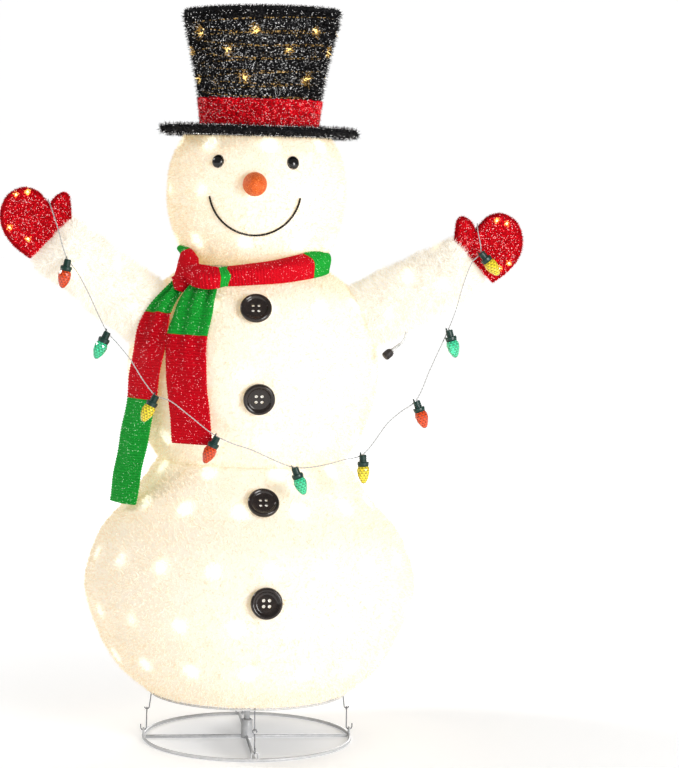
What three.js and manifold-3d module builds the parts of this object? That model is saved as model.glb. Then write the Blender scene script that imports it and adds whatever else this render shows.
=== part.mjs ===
// Pre-lit pop-up yard snowman: plush balls over spring wire on a steel pole and ring base.
// Millimetres, +Z up, front towards -Y, origin on the ground under the pole.
import * as THREE from 'three';
import { mergeVertices } from 'three/addons/utils/BufferGeometryUtils.js';
import Module from 'manifold-3d';

const wasm = await Module();
wasm.setup();

// ---- driving dimensions -------------------------------------------------------------
const GAP = 0.3;
const UP = new THREE.Vector3(0, 0, 1);

const BASE_ROD = 3.5; // radius of the steel rod of the ring and the cross
const BASE_RING = 216;
const EYE_WIRE = 2.2;
const EYE_HALF_WIDTH = 7;
const EYE_ARC_Z = 14;
const HUB_RADIUS = 12;
const HUB_HEIGHT = 40;
const HUB_FLOOR = 6;

// Telescoping pole: outer radius, bore radius, lowest and highest point of each section.
const POLE_SECTIONS = {
  pole_lower: { outer: 6.5, bore: 5.6, z: [6.5, 520] },
  pole_middle: { outer: 5.3, bore: 4.4, z: [480, 1000] },
  pole_upper: { outer: 4.1, bore: 0, z: [960, 1500] },
};

const SKIN = 4; // plush with its backing
const WIRE_CLEARANCE = 8; // from the outside of the skin to the middle of the spring wire
const LOWER_PROFILE = [[206, 112], [278, 171], [334, 285], [343, 335], [312, 429], [244, 511], [190, 590]];
const UPPER_PROFILE = [[190, 593], [228, 655], [252, 735], [254, 800], [238, 880], [208, 934], [131, 990]];
const HEAD_PROFILE = [[131, 993], [153, 1028], [174, 1085], [180, 1145], [170, 1210], [147, 1254]];
const BOTTOM_HOOP = { radius: 205, wire: 2.5, z: 104 };
const WAIST_HOOP = { radius: 181, wire: 2, z: 591 };

const BRIM_Z = 1265;
const BRIM_RADIUS = 203;
const BRIM_THICKNESS = 12;
const CROWN_BASE = 114;
const CROWN_TOP = 160;
const CROWN_HEIGHT = 240;
const BAND_HEIGHT = 58;
const LID_THICKNESS = 8;
const HAT_TILT = THREE.MathUtils.degToRad(0.5);

const HEAD_TURN = -5.6; // degrees, towards the garland's first bulb
const EYE_SPREAD = 25.5; // degrees either side of the nose
const BUTTON_RADIUS = 30;
const BUTTON_THICKNESS = 11;
const BUTTONS = [
  { z: 912, azimuth: -3.7 },
  { z: 737, azimuth: -1.7 },
  { z: 526, azimuth: 1.5 },
  { z: 345, azimuth: 1.2 },
];

const SCARF_WIDTH = 80;
const SCARF_THICKNESS = 8;

const SLEEVE_RADIUS = 60;
const MITTEN_THICKNESS = 24;
const MITTEN_LIFT = THREE.MathUtils.degToRad(44.4);
const ARMS = {
  left: { side: -1, shoulder: [-240, -45, 903], cuff: [-420, -150, 1043] },
  right: { side: 1, shoulder: [240, -45, 900], cuff: [431, -150, 1010] },
};

const GARLAND_CORD = 1.3; // cord radius
const GARLAND_ROUTE = [
  [-425, -150, 1120], [-420, -166, 1107], [-405, -188, 1063], [-394, -201, 1024], [-385, -204, 1003],
  [-366, -207, 978], [-347, -208, 944], [-306, -212, 862], [-286, -216, 840], [-262, -220, 811],
  [-232, -229, 765], [-210, -237, 740], [-196, -240, 735], [-180, -244, 729], [-145, -251, 703],
  [-99, -258, 668], [-62, -261, 650], [-24, -264, 638], [64, -263, 603], [115, -261, 606],
  [162, -258, 618], [200, -253, 628], [252, -244, 692], [278, -241, 714], [307, -235, 735],
  [337, -226, 800], [372, -215, 876], [385, -213, 910], [402, -207, 968], [421, -194, 1012],
  [439, -182, 1030], [435, -166, 1074], [436, -150, 1088],
];
// Each bulb hangs just in front of a place on the cord; lean is its tilt to the right, in degrees.
const BULB_FORWARD = 9;
const BULBS = [
  { at: [-385, -204, 1003], lean: -11 },
  { at: [-306, -212, 862], lean: -24 },
  { at: [-210, -237, 740], lean: -27 },
  { at: [-90, -259, 662], lean: -25 },
  { at: [64, -263, 603], lean: 21 },
  { at: [200, -253, 628], lean: 3 },
  { at: [307, -235, 735], lean: 20 },
  { at: [372, -215, 876], lean: 16 },
  { at: [439, -182, 1030], lean: 40 },
];

const COLOURS = {
  plush: 0xf6f1e8, red: 0xc8102e, green: 0x108a3a, black: 0x141416, steel: 0xdcdcda,
  galvanised: 0x9a9ca0, orange: 0xf06a1e, button: 0x2b2624, clear: 0xe8e8e4, socket: 0x1e4a3c,
  yellow: 0xf2c230, wire: 0xb8bcc0, connector: 0x2a201c,
};

// ---- helpers ------------------------------------------------------------------------
const snowman = new THREE.Group();

function add(name, geometry, colour, roughness = 0.8, metalness = 0) {
  const material = new THREE.MeshStandardMaterial({ color: COLOURS[colour], roughness, metalness });
  const mesh = new THREE.Mesh(geometry, material);
  mesh.name = name;
  snowman.add(mesh);
  return mesh;
}

function vectors(points) {
  return points.map((p) => new THREE.Vector3(...p));
}

// Solid of revolution about Z from [radius, z] points.
function revolve(profile, segments) {
  const points = profile.map(([r, z]) => new THREE.Vector2(r, z));
  const geometry = new THREE.LatheGeometry(points, segments);
  geometry.rotateX(Math.PI / 2);
  return geometry;
}

// Ring of revolution whose profile closes on itself.
function revolveClosed(profile, segments) {
  return revolve([...profile, profile[0]], segments);
}

function polygon(radius, sides) {
  const corners = [];
  for (let i = 0; i < sides; i++) {
    const angle = (2 * Math.PI * i) / sides;
    corners.push(new THREE.Vector2(radius * Math.cos(angle), radius * Math.sin(angle)));
  }
  return new THREE.Shape(corners);
}

// Round wire along a smooth curve through the points.
function wire(points, radius, sides, steps) {
  const path = new THREE.CatmullRomCurve3(vectors(points), false, 'centripetal');
  return new THREE.ExtrudeGeometry(polygon(radius, sides), { steps, extrudePath: path });
}

function cylinder(radius, from, to, sides) {
  const a = new THREE.Vector3(...from);
  const b = new THREE.Vector3(...to);
  const geometry = new THREE.CylinderGeometry(radius, radius, a.distanceTo(b), sides);
  const turn = new THREE.Quaternion().setFromUnitVectors(new THREE.Vector3(0, 1, 0), b.clone().sub(a).normalize());
  geometry.applyQuaternion(turn);
  geometry.translate(...a.add(b).multiplyScalar(0.5).toArray());
  return geometry;
}

function toSolid(geometry) {
  const bare = geometry.index ? geometry.toNonIndexed() : geometry.clone();
  bare.deleteAttribute('normal');
  bare.deleteAttribute('uv');
  const merged = mergeVertices(bare, 1e-4);
  const mesh = new wasm.Mesh({
    numProp: 3,
    vertProperties: new Float32Array(merged.attributes.position.array),
    triVerts: new Uint32Array(merged.index.array),
  });
  mesh.merge();
  return new wasm.Manifold(mesh);
}

function toGeometry(solid) {
  const mesh = solid.getMesh();
  const geometry = new THREE.BufferGeometry();
  geometry.setAttribute('position', new THREE.BufferAttribute(new Float32Array(mesh.vertProperties), 3));
  geometry.setIndex(new THREE.BufferAttribute(new Uint32Array(mesh.triVerts), 1));
  geometry.computeVertexNormals();
  return geometry;
}

function union(geometries) {
  return toGeometry(geometries.map(toSolid).reduce((a, b) => a.add(b)));
}

function cut(geometry, tools) {
  return toGeometry(tools.map(toSolid).reduce((a, b) => a.subtract(b), toSolid(geometry)));
}

// Even samples of a smooth profile, from its lowest point to its highest.
function smoothProfile(points, count) {
  const curve = new THREE.CatmullRomCurve3(points.map(([r, z]) => new THREE.Vector3(r, 0, z)), false, 'centripetal');
  return curve.getSpacedPoints(count).map((p) => [p.x, p.z]);
}

function radiusAt(profile, z) {
  const next = profile.findIndex((p) => p[1] > z);
  const i = Math.min(Math.max(next === -1 ? profile.length - 1 : next, 1), profile.length - 1);
  const [[r0, z0], [r1, z1]] = [profile[i - 1], profile[i]];
  return r0 + ((r1 - r0) * (z - z0)) / (z1 - z0);
}

function slopeAt(profile, z, span) {
  return Math.atan2(radiusAt(profile, z - span) - radiusAt(profile, z + span), 2 * span);
}

function skinShell(profile, segments) {
  const inside = profile.map(([r, z]) => [r - SKIN, z]).reverse();
  return revolveClosed([...profile, ...inside], segments);
}

// Coil of wire just inside a skin.
function coil(profile, from, to, turns, stepsPerTurn, radius, sides, inset, phase) {
  const points = [];
  const steps = Math.round(turns * stepsPerTurn);
  for (let i = 0; i <= steps; i++) {
    const z = from + ((to - from) * i) / steps;
    const angle = phase + (2 * Math.PI * i) / stepsPerTurn;
    const r = radiusAt(profile, z) - inset;
    points.push([r * Math.cos(angle), r * Math.sin(angle), z]);
  }
  return wire(points, radius, sides, steps);
}

// Point at an angle from the front and a distance from the axis.
function around(azimuth, radius, z) {
  const angle = THREE.MathUtils.degToRad(azimuth);
  return [radius * Math.sin(angle), -radius * Math.cos(angle), z];
}

// Turns a piece made along +Z to face outwards at an angle from the front.
function faceOut(geometry, azimuth, tilt, position) {
  geometry.rotateX(Math.PI / 2 - tilt);
  geometry.rotateZ(THREE.MathUtils.degToRad(azimuth));
  geometry.translate(...position);
  return geometry;
}

// Flat strip of cloth that follows [azimuth, radius, z] stations, its width level.
function strip(stations, width, thickness) {
  const positions = [];
  for (const [azimuth, radius, z] of stations) {
    const out = new THREE.Vector3(...around(azimuth, 1, 0));
    const along = new THREE.Vector3().crossVectors(UP, out);
    const centre = new THREE.Vector3(...around(azimuth, radius, z));
    for (const [side, depth] of [[-0.5, 0], [0.5, 0], [0.5, 1], [-0.5, 1]]) {
      const corner = centre.clone().addScaledVector(along, side * width).addScaledVector(out, depth * thickness);
      positions.push(...corner.toArray());
    }
  }
  const index = [0, 2, 1, 0, 3, 2];
  const last = 4 * (stations.length - 1);
  for (let i = 0; i < last; i += 4) {
    for (let k = 0; k < 4; k++) {
      const next = (k + 1) % 4;
      index.push(i + k, i + 4 + next, i + 4 + k, i + k, i + next, i + 4 + next);
    }
  }
  index.push(last, last + 1, last + 2, last, last + 2, last + 3);
  const geometry = new THREE.BufferGeometry();
  geometry.setAttribute('position', new THREE.Float32BufferAttribute(positions, 3));
  geometry.setIndex(index);
  return geometry;
}

// ---- base ---------------------------------------------------------------------------
const QUARTERS = { front: -90, right: 0, back: 90, left: 180 };

function radial(quarter, points) {
  const angle = THREE.MathUtils.degToRad(QUARTERS[quarter]);
  return points.map(([r, t, z]) => [
    r * Math.cos(angle) - t * Math.sin(angle),
    r * Math.sin(angle) + t * Math.cos(angle),
    z,
  ]);
}

function baseEye(quarter) {
  const points = [[BASE_RING, -EYE_HALF_WIDTH, BASE_ROD]];
  for (let i = 0; i <= 6; i++) {
    const angle = Math.PI - (Math.PI * i) / 6;
    const across = EYE_HALF_WIDTH * Math.cos(angle);
    points.push([BASE_RING, across, EYE_ARC_Z + EYE_HALF_WIDTH * Math.sin(angle)]);
  }
  points.push([BASE_RING, EYE_HALF_WIDTH, BASE_ROD]);
  return wire(radial(quarter, points), EYE_WIRE, 5, 9);
}

function base() {
  const ring = new THREE.TorusGeometry(BASE_RING, BASE_ROD, 6, 44);
  ring.translate(0, 0, BASE_ROD);
  add('base_ring', union([ring, ...Object.keys(QUARTERS).map(baseEye)]), 'steel', 0.4, 0.3);

  const reach = BASE_RING - BASE_ROD - GAP - 0.5;
  const hub = revolve([[0, 0], [HUB_RADIUS, 0], [HUB_RADIUS, HUB_HEIGHT], [0, HUB_HEIGHT]], 24);
  const bars = [
    cylinder(BASE_ROD, [-reach, 0, BASE_ROD], [reach, 0, BASE_ROD], 8),
    cylinder(BASE_ROD, [0, -reach, BASE_ROD], [0, reach, BASE_ROD], 8),
  ];
  const socket = cylinder(POLE_SECTIONS.pole_lower.outer + 0.5, [0, 0, HUB_FLOOR], [0, 0, HUB_HEIGHT + 1], 24);
  add('base_cross', cut(union([hub, ...bars]), [socket]), 'steel', 0.4, 0.3);
}

// ---- hooks between the bottom hoop and the base -------------------------------------
const LINK_WIRE = 1.2;
const LINK_HALF_WIDTH = 5;
const LINK_TOP_Z = BOTTOM_HOOP.z - 0.9;
const LINK_BOTTOM_Z = 62;
const HOOK_WIRE = 1.3;
const HOOK_ARC = 6;
const HOOK_ARC_Z = 23;
const HOOK_EYE = 4;
const HOOK_LEAN_R = 209.5; // where the chain hangs half way between hoop and base

// Long open-jointed link: over the hoop at its top, through the hook's eye at its bottom.
function hookLink(quarter) {
  const points = [];
  const joint = 0.16; // half the angle left open where the wire's ends meet
  for (let i = 0; i <= 16; i++) {
    const angle = joint + ((2 * Math.PI - 2 * joint) * i) / 16;
    const high = Math.sin(angle) >= 0;
    const centreR = high ? BOTTOM_HOOP.radius : HOOK_LEAN_R;
    const centreZ = high ? LINK_TOP_Z : LINK_BOTTOM_Z + LINK_HALF_WIDTH;
    const half = LINK_HALF_WIDTH;
    points.push([centreR + half * Math.cos(angle), 0, centreZ + half * Math.sin(angle)]);
  }
  return wire(radial(quarter, points), LINK_WIRE, 5, 20);
}

// J hook: small bent eye, straight shank, and the open hook under the base eye's arch.
function baseHook(quarter) {
  const points = [];
  const eyeZ = LINK_BOTTOM_Z - 1.1;
  for (let i = 0; i <= 8; i++) {
    const angle = THREE.MathUtils.degToRad(-40 + 270 * (i / 8));
    points.push([HOOK_LEAN_R, HOOK_EYE * Math.cos(angle), eyeZ + HOOK_EYE * Math.sin(angle)]);
  }
  points.push([HOOK_LEAN_R + 0.2, -0.6, eyeZ - HOOK_EYE - 3]);
  points.push([BASE_RING - HOOK_ARC, 0, HOOK_ARC_Z + 8]);
  for (let i = 0; i <= 6; i++) {
    const angle = Math.PI + (Math.PI * i) / 6;
    points.push([BASE_RING + HOOK_ARC * Math.cos(angle), 0, HOOK_ARC_Z + HOOK_ARC * Math.sin(angle)]);
  }
  points.push([BASE_RING + HOOK_ARC, 0, HOOK_ARC_Z + 7]);
  return wire(radial(quarter, points), HOOK_WIRE, 5, 26);
}

function hooks() {
  for (const quarter of Object.keys(QUARTERS)) {
    add(`hook_link_${quarter}`, hookLink(quarter), 'galvanised', 0.35, 0.9);
    add(`base_hook_${quarter}`, baseHook(quarter), 'galvanised', 0.35, 0.9);
  }
}

// ---- pole, hoops, springs and light strings ------------------------------------------
function pole() {
  for (const [name, { outer, bore, z: [low, high] }] of Object.entries(POLE_SECTIONS)) {
    const outline = bore
      ? revolveClosed([[bore, low], [outer, low], [outer, high], [bore, high]], 12)
      : revolve([[0, low], [outer, low], [outer, high], [0, high]], 12);
    add(name, outline, 'steel', 0.35, 0.5);
  }
}

function hoops() {
  for (const [name, hoop, steps] of [['bottom_hoop', BOTTOM_HOOP, 44], ['waist_hoop', WAIST_HOOP, 32]]) {
    const ring = new THREE.TorusGeometry(hoop.radius, hoop.wire, 5, steps);
    ring.translate(0, 0, hoop.z);
    add(name, ring, 'steel', 0.4, 0.4);
  }
}

const lowerProfile = smoothProfile(LOWER_PROFILE, 9);
const upperProfile = smoothProfile(UPPER_PROFILE, 9);
const headProfile = smoothProfile(HEAD_PROFILE, 7);

function balls() {
  add('lower_body', skinShell(lowerProfile, 26), 'plush', 1);
  add('upper_body', skinShell(upperProfile, 26), 'plush', 1);
  add('head', skinShell(headProfile, 22), 'plush', 1);

  const spring = WIRE_CLEARANCE + SKIN;
  add('spring_lower', coil(lowerProfile, 116, 578, 4, 18, 1.5, 4, spring, 0), 'wire', 0.4, 0.8);
  add('spring_upper', coil(upperProfile, 604, 976, 4, 16, 1.5, 4, spring, 0), 'wire', 0.4, 0.8);
  add('spring_head', coil(headProfile, 1002, 1244, 3, 14, 1.5, 4, spring, 0), 'wire', 0.4, 0.8);

  const lights = spring + 9;
  add('lights_lower', coil(lowerProfile, 130, 560, 3, 16, 1.2, 4, lights, Math.PI), 'clear', 0.4);
  add('lights_upper', coil(upperProfile, 625, 950, 2, 14, 1.2, 4, lights, Math.PI), 'clear', 0.4);
  add('lights_head', coil(headProfile, 1025, 1230, 1.5, 14, 1.2, 4, lights, Math.PI), 'clear', 0.4);
}

// ---- hat ------------------------------------------------------------------------------
function hat() {
  const brimTop = BRIM_Z + BRIM_THICKNESS / 2;
  const brimBottom = BRIM_Z - BRIM_THICKNESS / 2;
  const crownFoot = brimTop + GAP;
  const crownRim = crownFoot + CROWN_HEIGHT;
  const bandTop = crownFoot + BAND_HEIGHT;
  const poleHole = 9;
  const crownAt = (z) => CROWN_BASE + (CROWN_TOP - CROWN_BASE) * ((z - crownFoot) / CROWN_HEIGHT) ** 1.35;

  const brimRound = BRIM_THICKNESS / 3;
  const brim = revolveClosed([
    [poleHole, brimBottom], [BRIM_RADIUS - brimRound, brimBottom], [BRIM_RADIUS, BRIM_Z],
    [BRIM_RADIUS - brimRound, brimTop], [poleHole, brimTop],
  ], 40);

  const sideHeights = [0, 0.35, 0.7, 1].map((t) => crownFoot + t * CROWN_HEIGHT);
  const outside = sideHeights.map((z) => [crownAt(z), z]);
  const crown = revolveClosed([...outside, ...outside.map(([r, z]) => [r - SKIN, z]).reverse()], 28);

  const lidFoot = crownRim + GAP;
  const lid = revolve([
    [0, lidFoot], [CROWN_TOP, lidFoot], [CROWN_TOP - 3, lidFoot + LID_THICKNESS], [0, lidFoot + LID_THICKNESS + 5],
  ], 32);

  const bandGap = 1.5;
  const bandFoot = crownFoot + 1;
  const band = revolveClosed([
    [crownAt(bandFoot) + bandGap, bandFoot], [crownAt(bandFoot) + bandGap + 7, bandFoot],
    [crownAt(bandTop) + bandGap + 7, bandTop], [crownAt(bandTop) + bandGap, bandTop],
  ], 32);

  const frame = coil(outside, crownFoot + 8, crownRim - 8, 6, 12, 1.3, 4, SKIN + WIRE_CLEARANCE, 0);
  const lights = coil(outside, crownFoot + 14, crownRim - 14, 3, 14, 1.2, 4, SKIN + WIRE_CLEARANCE + 7, 1);

  const pieces = {
    hat_brim: [brim, 'black'], hat_crown: [crown, 'black'], hat_lid: [lid, 'black'], hat_band: [band, 'red'],
    hat_spring: [frame, 'wire'], lights_hat: [lights, 'clear'],
  };
  for (const [name, [geometry, colour]] of Object.entries(pieces)) {
    geometry.translate(0, 0, -BRIM_Z);
    geometry.rotateY(HAT_TILT);
    geometry.translate(0, 0, BRIM_Z);
    add(name, geometry, colour, 0.9);
  }
}

// ---- face -----------------------------------------------------------------------------
function face() {
  const eyeZ = 1202;
  for (const [name, side] of [['eye_left', -1], ['eye_right', 1]]) {
    const dome = [[0, 0], [11.5, 0], [12.5, 2], [11, 5], [7, 7.5], [0, 9]];
    const eye = revolve(dome, 16);
    eye.scale(1, 1.1, 1);
    const azimuth = HEAD_TURN + side * EYE_SPREAD;
    const tilt = slopeAt(headProfile, eyeZ, 14);
    const seat = radiusAt(headProfile, eyeZ) + 1.2;
    add(name, faceOut(eye, azimuth, tilt, around(azimuth, seat, eyeZ)), 'black', 0.1);
  }

  const noseZ = 1158;
  const nose = revolve([[0, 0], [23, 0], [24, 5], [21, 16], [15, 28], [8, 36], [0, 39]], 16);
  const noseSeat = radiusAt(headProfile, noseZ) + 1.2;
  add('nose', faceOut(nose, HEAD_TURN, 0, around(HEAD_TURN, noseSeat, noseZ)), 'orange', 0.5);

  const mouthRadius = 92;
  const mouthCentreZ = 1148;
  const cord = 2;
  const points = [];
  for (let i = 0; i <= 20; i++) {
    const angle = THREE.MathUtils.degToRad(-170 + 160 * (i / 20));
    const across = mouthRadius * Math.cos(angle);
    const z = mouthCentreZ + mouthRadius * Math.sin(angle);
    const seat = radiusAt(headProfile, z) + cord + 1.5;
    points.push(around(HEAD_TURN + THREE.MathUtils.radToDeg(Math.asin(across / seat)), seat, z));
  }
  add('mouth', wire(points, cord, 6, 28), 'black', 0.7);
}

// ---- scarf ------------------------------------------------------------------------------
function scarf() {
  const inside = [[190, 956], [160, 995], [160, 1028]];
  const outside = inside.map(([r, z]) => [r + SCARF_THICKNESS, z + 1]);
  add('scarf_loop', revolveClosed([...outside, ...inside.reverse()], 28), 'red', 1);

  const knot = new THREE.SphereGeometry(1, 14, 8);
  knot.scale(32, 17, 30);
  const knotAzimuth = -32;
  knot.rotateZ(THREE.MathUtils.degToRad(knotAzimuth));
  knot.translate(...around(knotAzimuth, 211, 974));
  add('scarf_knot', knot, 'red', 1);

  // Lies on the upper ball down to its fattest place, then hangs straight.
  const equatorZ = 790;
  const lift = 4;
  const tail = (top, end, azimuthTop, azimuthEnd, flare) => {
    const stations = [];
    for (let i = 0; i <= 10; i++) {
      const t = i / 10;
      const z = top + (end - top) * t;
      const r = radiusAt(upperProfile, Math.max(z, equatorZ)) + lift + flare * t;
      stations.push([azimuthTop + (azimuthEnd - azimuthTop) * t ** 2, r, z]);
    }
    return strip(stations, SCARF_WIDTH, SCARF_THICKNESS);
  };
  add('scarf_tail_right', tail(938, 643, -32.5, -31, 0), 'green', 1);
  add('scarf_tail_left', tail(920, 497, -54, -80, 8), 'green', 1);
}

// ---- buttons ----------------------------------------------------------------------------
function buttons() {
  const holeRadius = 3.5;
  const holeOffset = 6;
  const outline = [
    [0, 0], [BUTTON_RADIUS - 3, 0], [BUTTON_RADIUS, 4], [BUTTON_RADIUS - 1, 9],
    [BUTTON_RADIUS - 5, BUTTON_THICKNESS], [BUTTON_RADIUS - 10, 7], [0, 6],
  ];
  BUTTONS.forEach(({ z, azimuth }, i) => {
    const profile = z > WAIST_HOOP.z ? upperProfile : lowerProfile;
    const holes = [[1, 1], [1, -1], [-1, 1], [-1, -1]].map(([x, y]) => {
      const [hx, hy] = [x * holeOffset, y * holeOffset];
      return cylinder(holeRadius, [hx, hy, -1], [hx, hy, BUTTON_THICKNESS], 6);
    });
    const tilt = slopeAt(profile, z, BUTTON_RADIUS);
    const seat = radiusAt(profile, z) + 3.5;
    const button = cut(revolve(outline, 16), holes);
    add(`button_${i + 1}`, faceOut(button, azimuth, tilt, around(azimuth, seat, z)), 'button', 0.15);
  });
}

// ---- arms and mittens -------------------------------------------------------------------
const MITTEN_OUTLINE = [
  [1, -56], [43, -60], [79, -52], [113, -30], [128, 0], [116, 34], [86, 47], [62, 46],
  [45, 44], [50, 62], [44, 83], [34, 84], [20, 74], [1, 57],
];

function mitten(arm) {
  const outline = new THREE.Shape();
  outline.moveTo(...MITTEN_OUTLINE[0]);
  outline.splineThru(MITTEN_OUTLINE.slice(1, 9).map((p) => new THREE.Vector2(...p)));
  outline.splineThru(MITTEN_OUTLINE.slice(9).map((p) => new THREE.Vector2(...p)));
  const bevel = 5;
  const geometry = new THREE.ExtrudeGeometry(outline, {
    depth: MITTEN_THICKNESS - 2 * bevel, curveSegments: 2,
    bevelThickness: bevel, bevelSize: bevel, bevelOffset: -bevel, bevelSegments: 1,
  });
  geometry.translate(0, 0, -MITTEN_THICKNESS / 2 + bevel);
  const along = new THREE.Vector3(arm.side * Math.cos(MITTEN_LIFT), 0, Math.sin(MITTEN_LIFT));
  const thumb = new THREE.Vector3(-arm.side * Math.sin(MITTEN_LIFT), 0, Math.cos(MITTEN_LIFT));
  const palm = new THREE.Vector3().crossVectors(along, thumb);
  geometry.applyMatrix4(new THREE.Matrix4().makeBasis(along, thumb, palm));
  geometry.translate(...arm.cuff);
  return geometry;
}

function arms() {
  const bodySolid = revolve([[0, 593], ...upperProfile.map(([r, z]) => [r + 0.6, z]), [0, 990]], 26);
  for (const [name, arm] of Object.entries(ARMS)) {
    const shoulder = new THREE.Vector3(...arm.shoulder);
    const cuff = new THREE.Vector3(...arm.cuff);
    const axis = cuff.clone().sub(shoulder).normalize();
    const length = cuff.distanceTo(shoulder);
    const turn = new THREE.Quaternion().setFromUnitVectors(UP, axis);
    const place = (geometry) => geometry.applyQuaternion(turn).translate(...arm.shoulder);

    const inside = SLEEVE_RADIUS - SKIN;
    const root = -70;
    const end = length - 22; // the mitten's cuff starts here
    const tube = revolveClosed([
      [inside, root], [SLEEVE_RADIUS, root], [SLEEVE_RADIUS + 2, end * 0.4], [SLEEVE_RADIUS - 3, end],
      [inside - 3, end], [inside + 2, end * 0.4],
    ], 20);
    add(`sleeve_${name}`, cut(place(tube), [bodySolid]), 'plush', 1);

    const points = [];
    for (let i = 0; i <= 36; i++) {
      const angle = (2 * Math.PI * i) / 12;
      points.push([46 * Math.cos(angle), 46 * Math.sin(angle), 60 + (end - 68) * (i / 36)]);
    }
    add(`arm_spring_${name}`, place(wire(points, 1.5, 4, 36)), 'wire', 0.4, 0.8);
    add(`mitten_${name}`, mitten(arm), 'red', 0.9);
  }
}

// ---- garland and light lead ----------------------------------------------------------------
function garland() {
  add('garland_cord', wire(GARLAND_ROUTE, GARLAND_CORD, 8, 64), 'clear', 0.5);
  // Cap, collar and cut lens of one bulb, from the cord downwards.
  const outline = [[0, 0], [7, 0], [7.5, -13], [11.5, -15], [11.5, -22], [13, -32], [9.5, -50], [0, -60]];
  const colours = ['red', 'green', 'yellow'];
  BULBS.forEach(({ at, lean }, i) => {
    const bulb = revolve([...outline].reverse(), 10);
    bulb.rotateY(-THREE.MathUtils.degToRad(lean));
    bulb.translate(at[0], at[1] - BULB_FORWARD, at[2]);
    add(`garland_bulb_${i + 1}`, bulb, colours[i % 3], 0.2);
  });
}

const LEAD_RADIUS = 2.7;
const LEAD_ROUTE = [[303, -108, 864], [300, -109, 853], [295, -111, 844], [285, -115, 835], [274, -119, 827]];
const CONNECTOR = { centre: [264, -122, 819], length: 19, radius: 8.5 };

function lead() {
  add('arm_lead', wire(LEAD_ROUTE, LEAD_RADIUS, 8, 8), 'clear', 0.3);
  const half = CONNECTOR.length / 2;
  const body = revolve([
    [0, -half], [CONNECTOR.radius - 1, -half], [CONNECTOR.radius, -half + 3], [CONNECTOR.radius, half - 3],
    [CONNECTOR.radius - 1, half], [0, half],
  ], 12);
  const towardsLead = new THREE.Vector3(...LEAD_ROUTE.at(-1)).sub(new THREE.Vector3(...CONNECTOR.centre));
  body.applyQuaternion(new THREE.Quaternion().setFromUnitVectors(UP, towardsLead.normalize()));
  body.translate(...CONNECTOR.centre);
  add('arm_connector', body, 'connector', 0.4);
}

base();
hooks();
pole();
hoops();
balls();
hat();
face();
scarf();
buttons();
arms();
garland();
lead();

export default snowman;
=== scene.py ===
"""The looks of the pre-lit pop-up yard snowman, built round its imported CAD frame.

Metres, +Z up, the snowman's front towards -Y. Left and right are the viewer's. Every piece rides the CAD
body it belongs to.
"""

import math

import bpy
import numpy as np
from mathutils import Matrix, Vector


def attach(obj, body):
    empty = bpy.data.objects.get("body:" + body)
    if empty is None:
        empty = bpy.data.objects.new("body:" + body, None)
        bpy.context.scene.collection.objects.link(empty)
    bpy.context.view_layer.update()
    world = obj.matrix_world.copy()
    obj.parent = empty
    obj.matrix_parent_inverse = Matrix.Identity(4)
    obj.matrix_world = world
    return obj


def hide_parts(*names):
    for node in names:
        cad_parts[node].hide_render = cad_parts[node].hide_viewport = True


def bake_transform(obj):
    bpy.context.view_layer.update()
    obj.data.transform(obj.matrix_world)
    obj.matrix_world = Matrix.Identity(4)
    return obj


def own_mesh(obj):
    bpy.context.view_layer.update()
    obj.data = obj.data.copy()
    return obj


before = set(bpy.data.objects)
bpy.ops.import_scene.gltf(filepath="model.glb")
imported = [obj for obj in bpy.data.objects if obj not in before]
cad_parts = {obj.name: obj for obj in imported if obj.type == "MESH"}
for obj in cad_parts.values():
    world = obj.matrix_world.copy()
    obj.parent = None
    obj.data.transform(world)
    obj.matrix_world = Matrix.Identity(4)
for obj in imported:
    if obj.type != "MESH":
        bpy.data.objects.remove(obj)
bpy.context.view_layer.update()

# ---- driving dimensions --------------------------------------------------------------
SKIN = 0.004
# Outlines of the three skins from the bottom up: radius and height in millimetres.
LOWER_PROFILE = [[206, 108], [276, 171], [331, 285], [340, 335], [312, 429], [244, 511], [190, 591.2]]
UPPER_PROFILE = [[190, 591.6], [228, 655], [252, 735], [254, 800], [238, 880], [208, 934], [131, 990]]
HEAD_PROFILE = [[131, 993], [153, 1028], [174, 1085], [180, 1145], [170, 1210], [147, 1254]]
SPRING_INSET = 0.012
SPRING_RADIUS = 0.0015
COIL_STEPS = 48
LIGHTS_INSET = 0.021
BALL_PILE_LENGTH = 0.0085
SLEEVE_PILE_LENGTH = 0.0150
PILE_WIDTH = 0.0007

# Rings of lamps inside each skin: height, angle of one lamp from the front, lamps in the ring.
LOWER_LAMPS = [(0.203, -4.4, 16), (0.297, -8.5, 18), (0.395, 3.0, 18), (0.500, -8.8, 13), (0.570, -70, 9)]
UPPER_LAMPS = [(0.655, 5, 12), (0.780, -8, 14), (0.905, -58, 12)]
HEAD_LAMPS = [(1.050, -12, 9), (1.144, -42, 10), (1.228, -41, 8)]
HAT_LAMPS = [(1.372, -19, 6), (1.428, -33, 7), (1.468, -9, 7)]

BASE_RING = 0.216
BASE_ROD = 0.0035
BASE_EYE = 0.007
# Radius, height and wire radius of each hoop.
BOTTOM_HOOP = (0.205, 0.104, 0.0025)
WAIST_HOOP = (0.181, 0.591, 0.002)
LINK_WIRE = 0.0012
LINK_BEND = 0.005
HOOK_WIRE = 0.0013
HOOK_EYE = 0.004
HOOK_BEND = 0.006
# Distance from the axis and height at which each link meets its hook.
LINK_FOOT = (0.2095, 0.062)
# Body, outer radius, bore radius, lowest and highest point of each pole section.
POLE_SECTIONS = {
    "pole_lower": ("root", 0.0065, 0.0056, 0.0065, 0.520),
    "pole_middle": ("pole_mid", 0.0053, 0.0044, 0.480, 1.000),
    "pole_upper": ("hat_top", 0.0041, 0.0, 0.960, 1.500),
}

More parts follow.
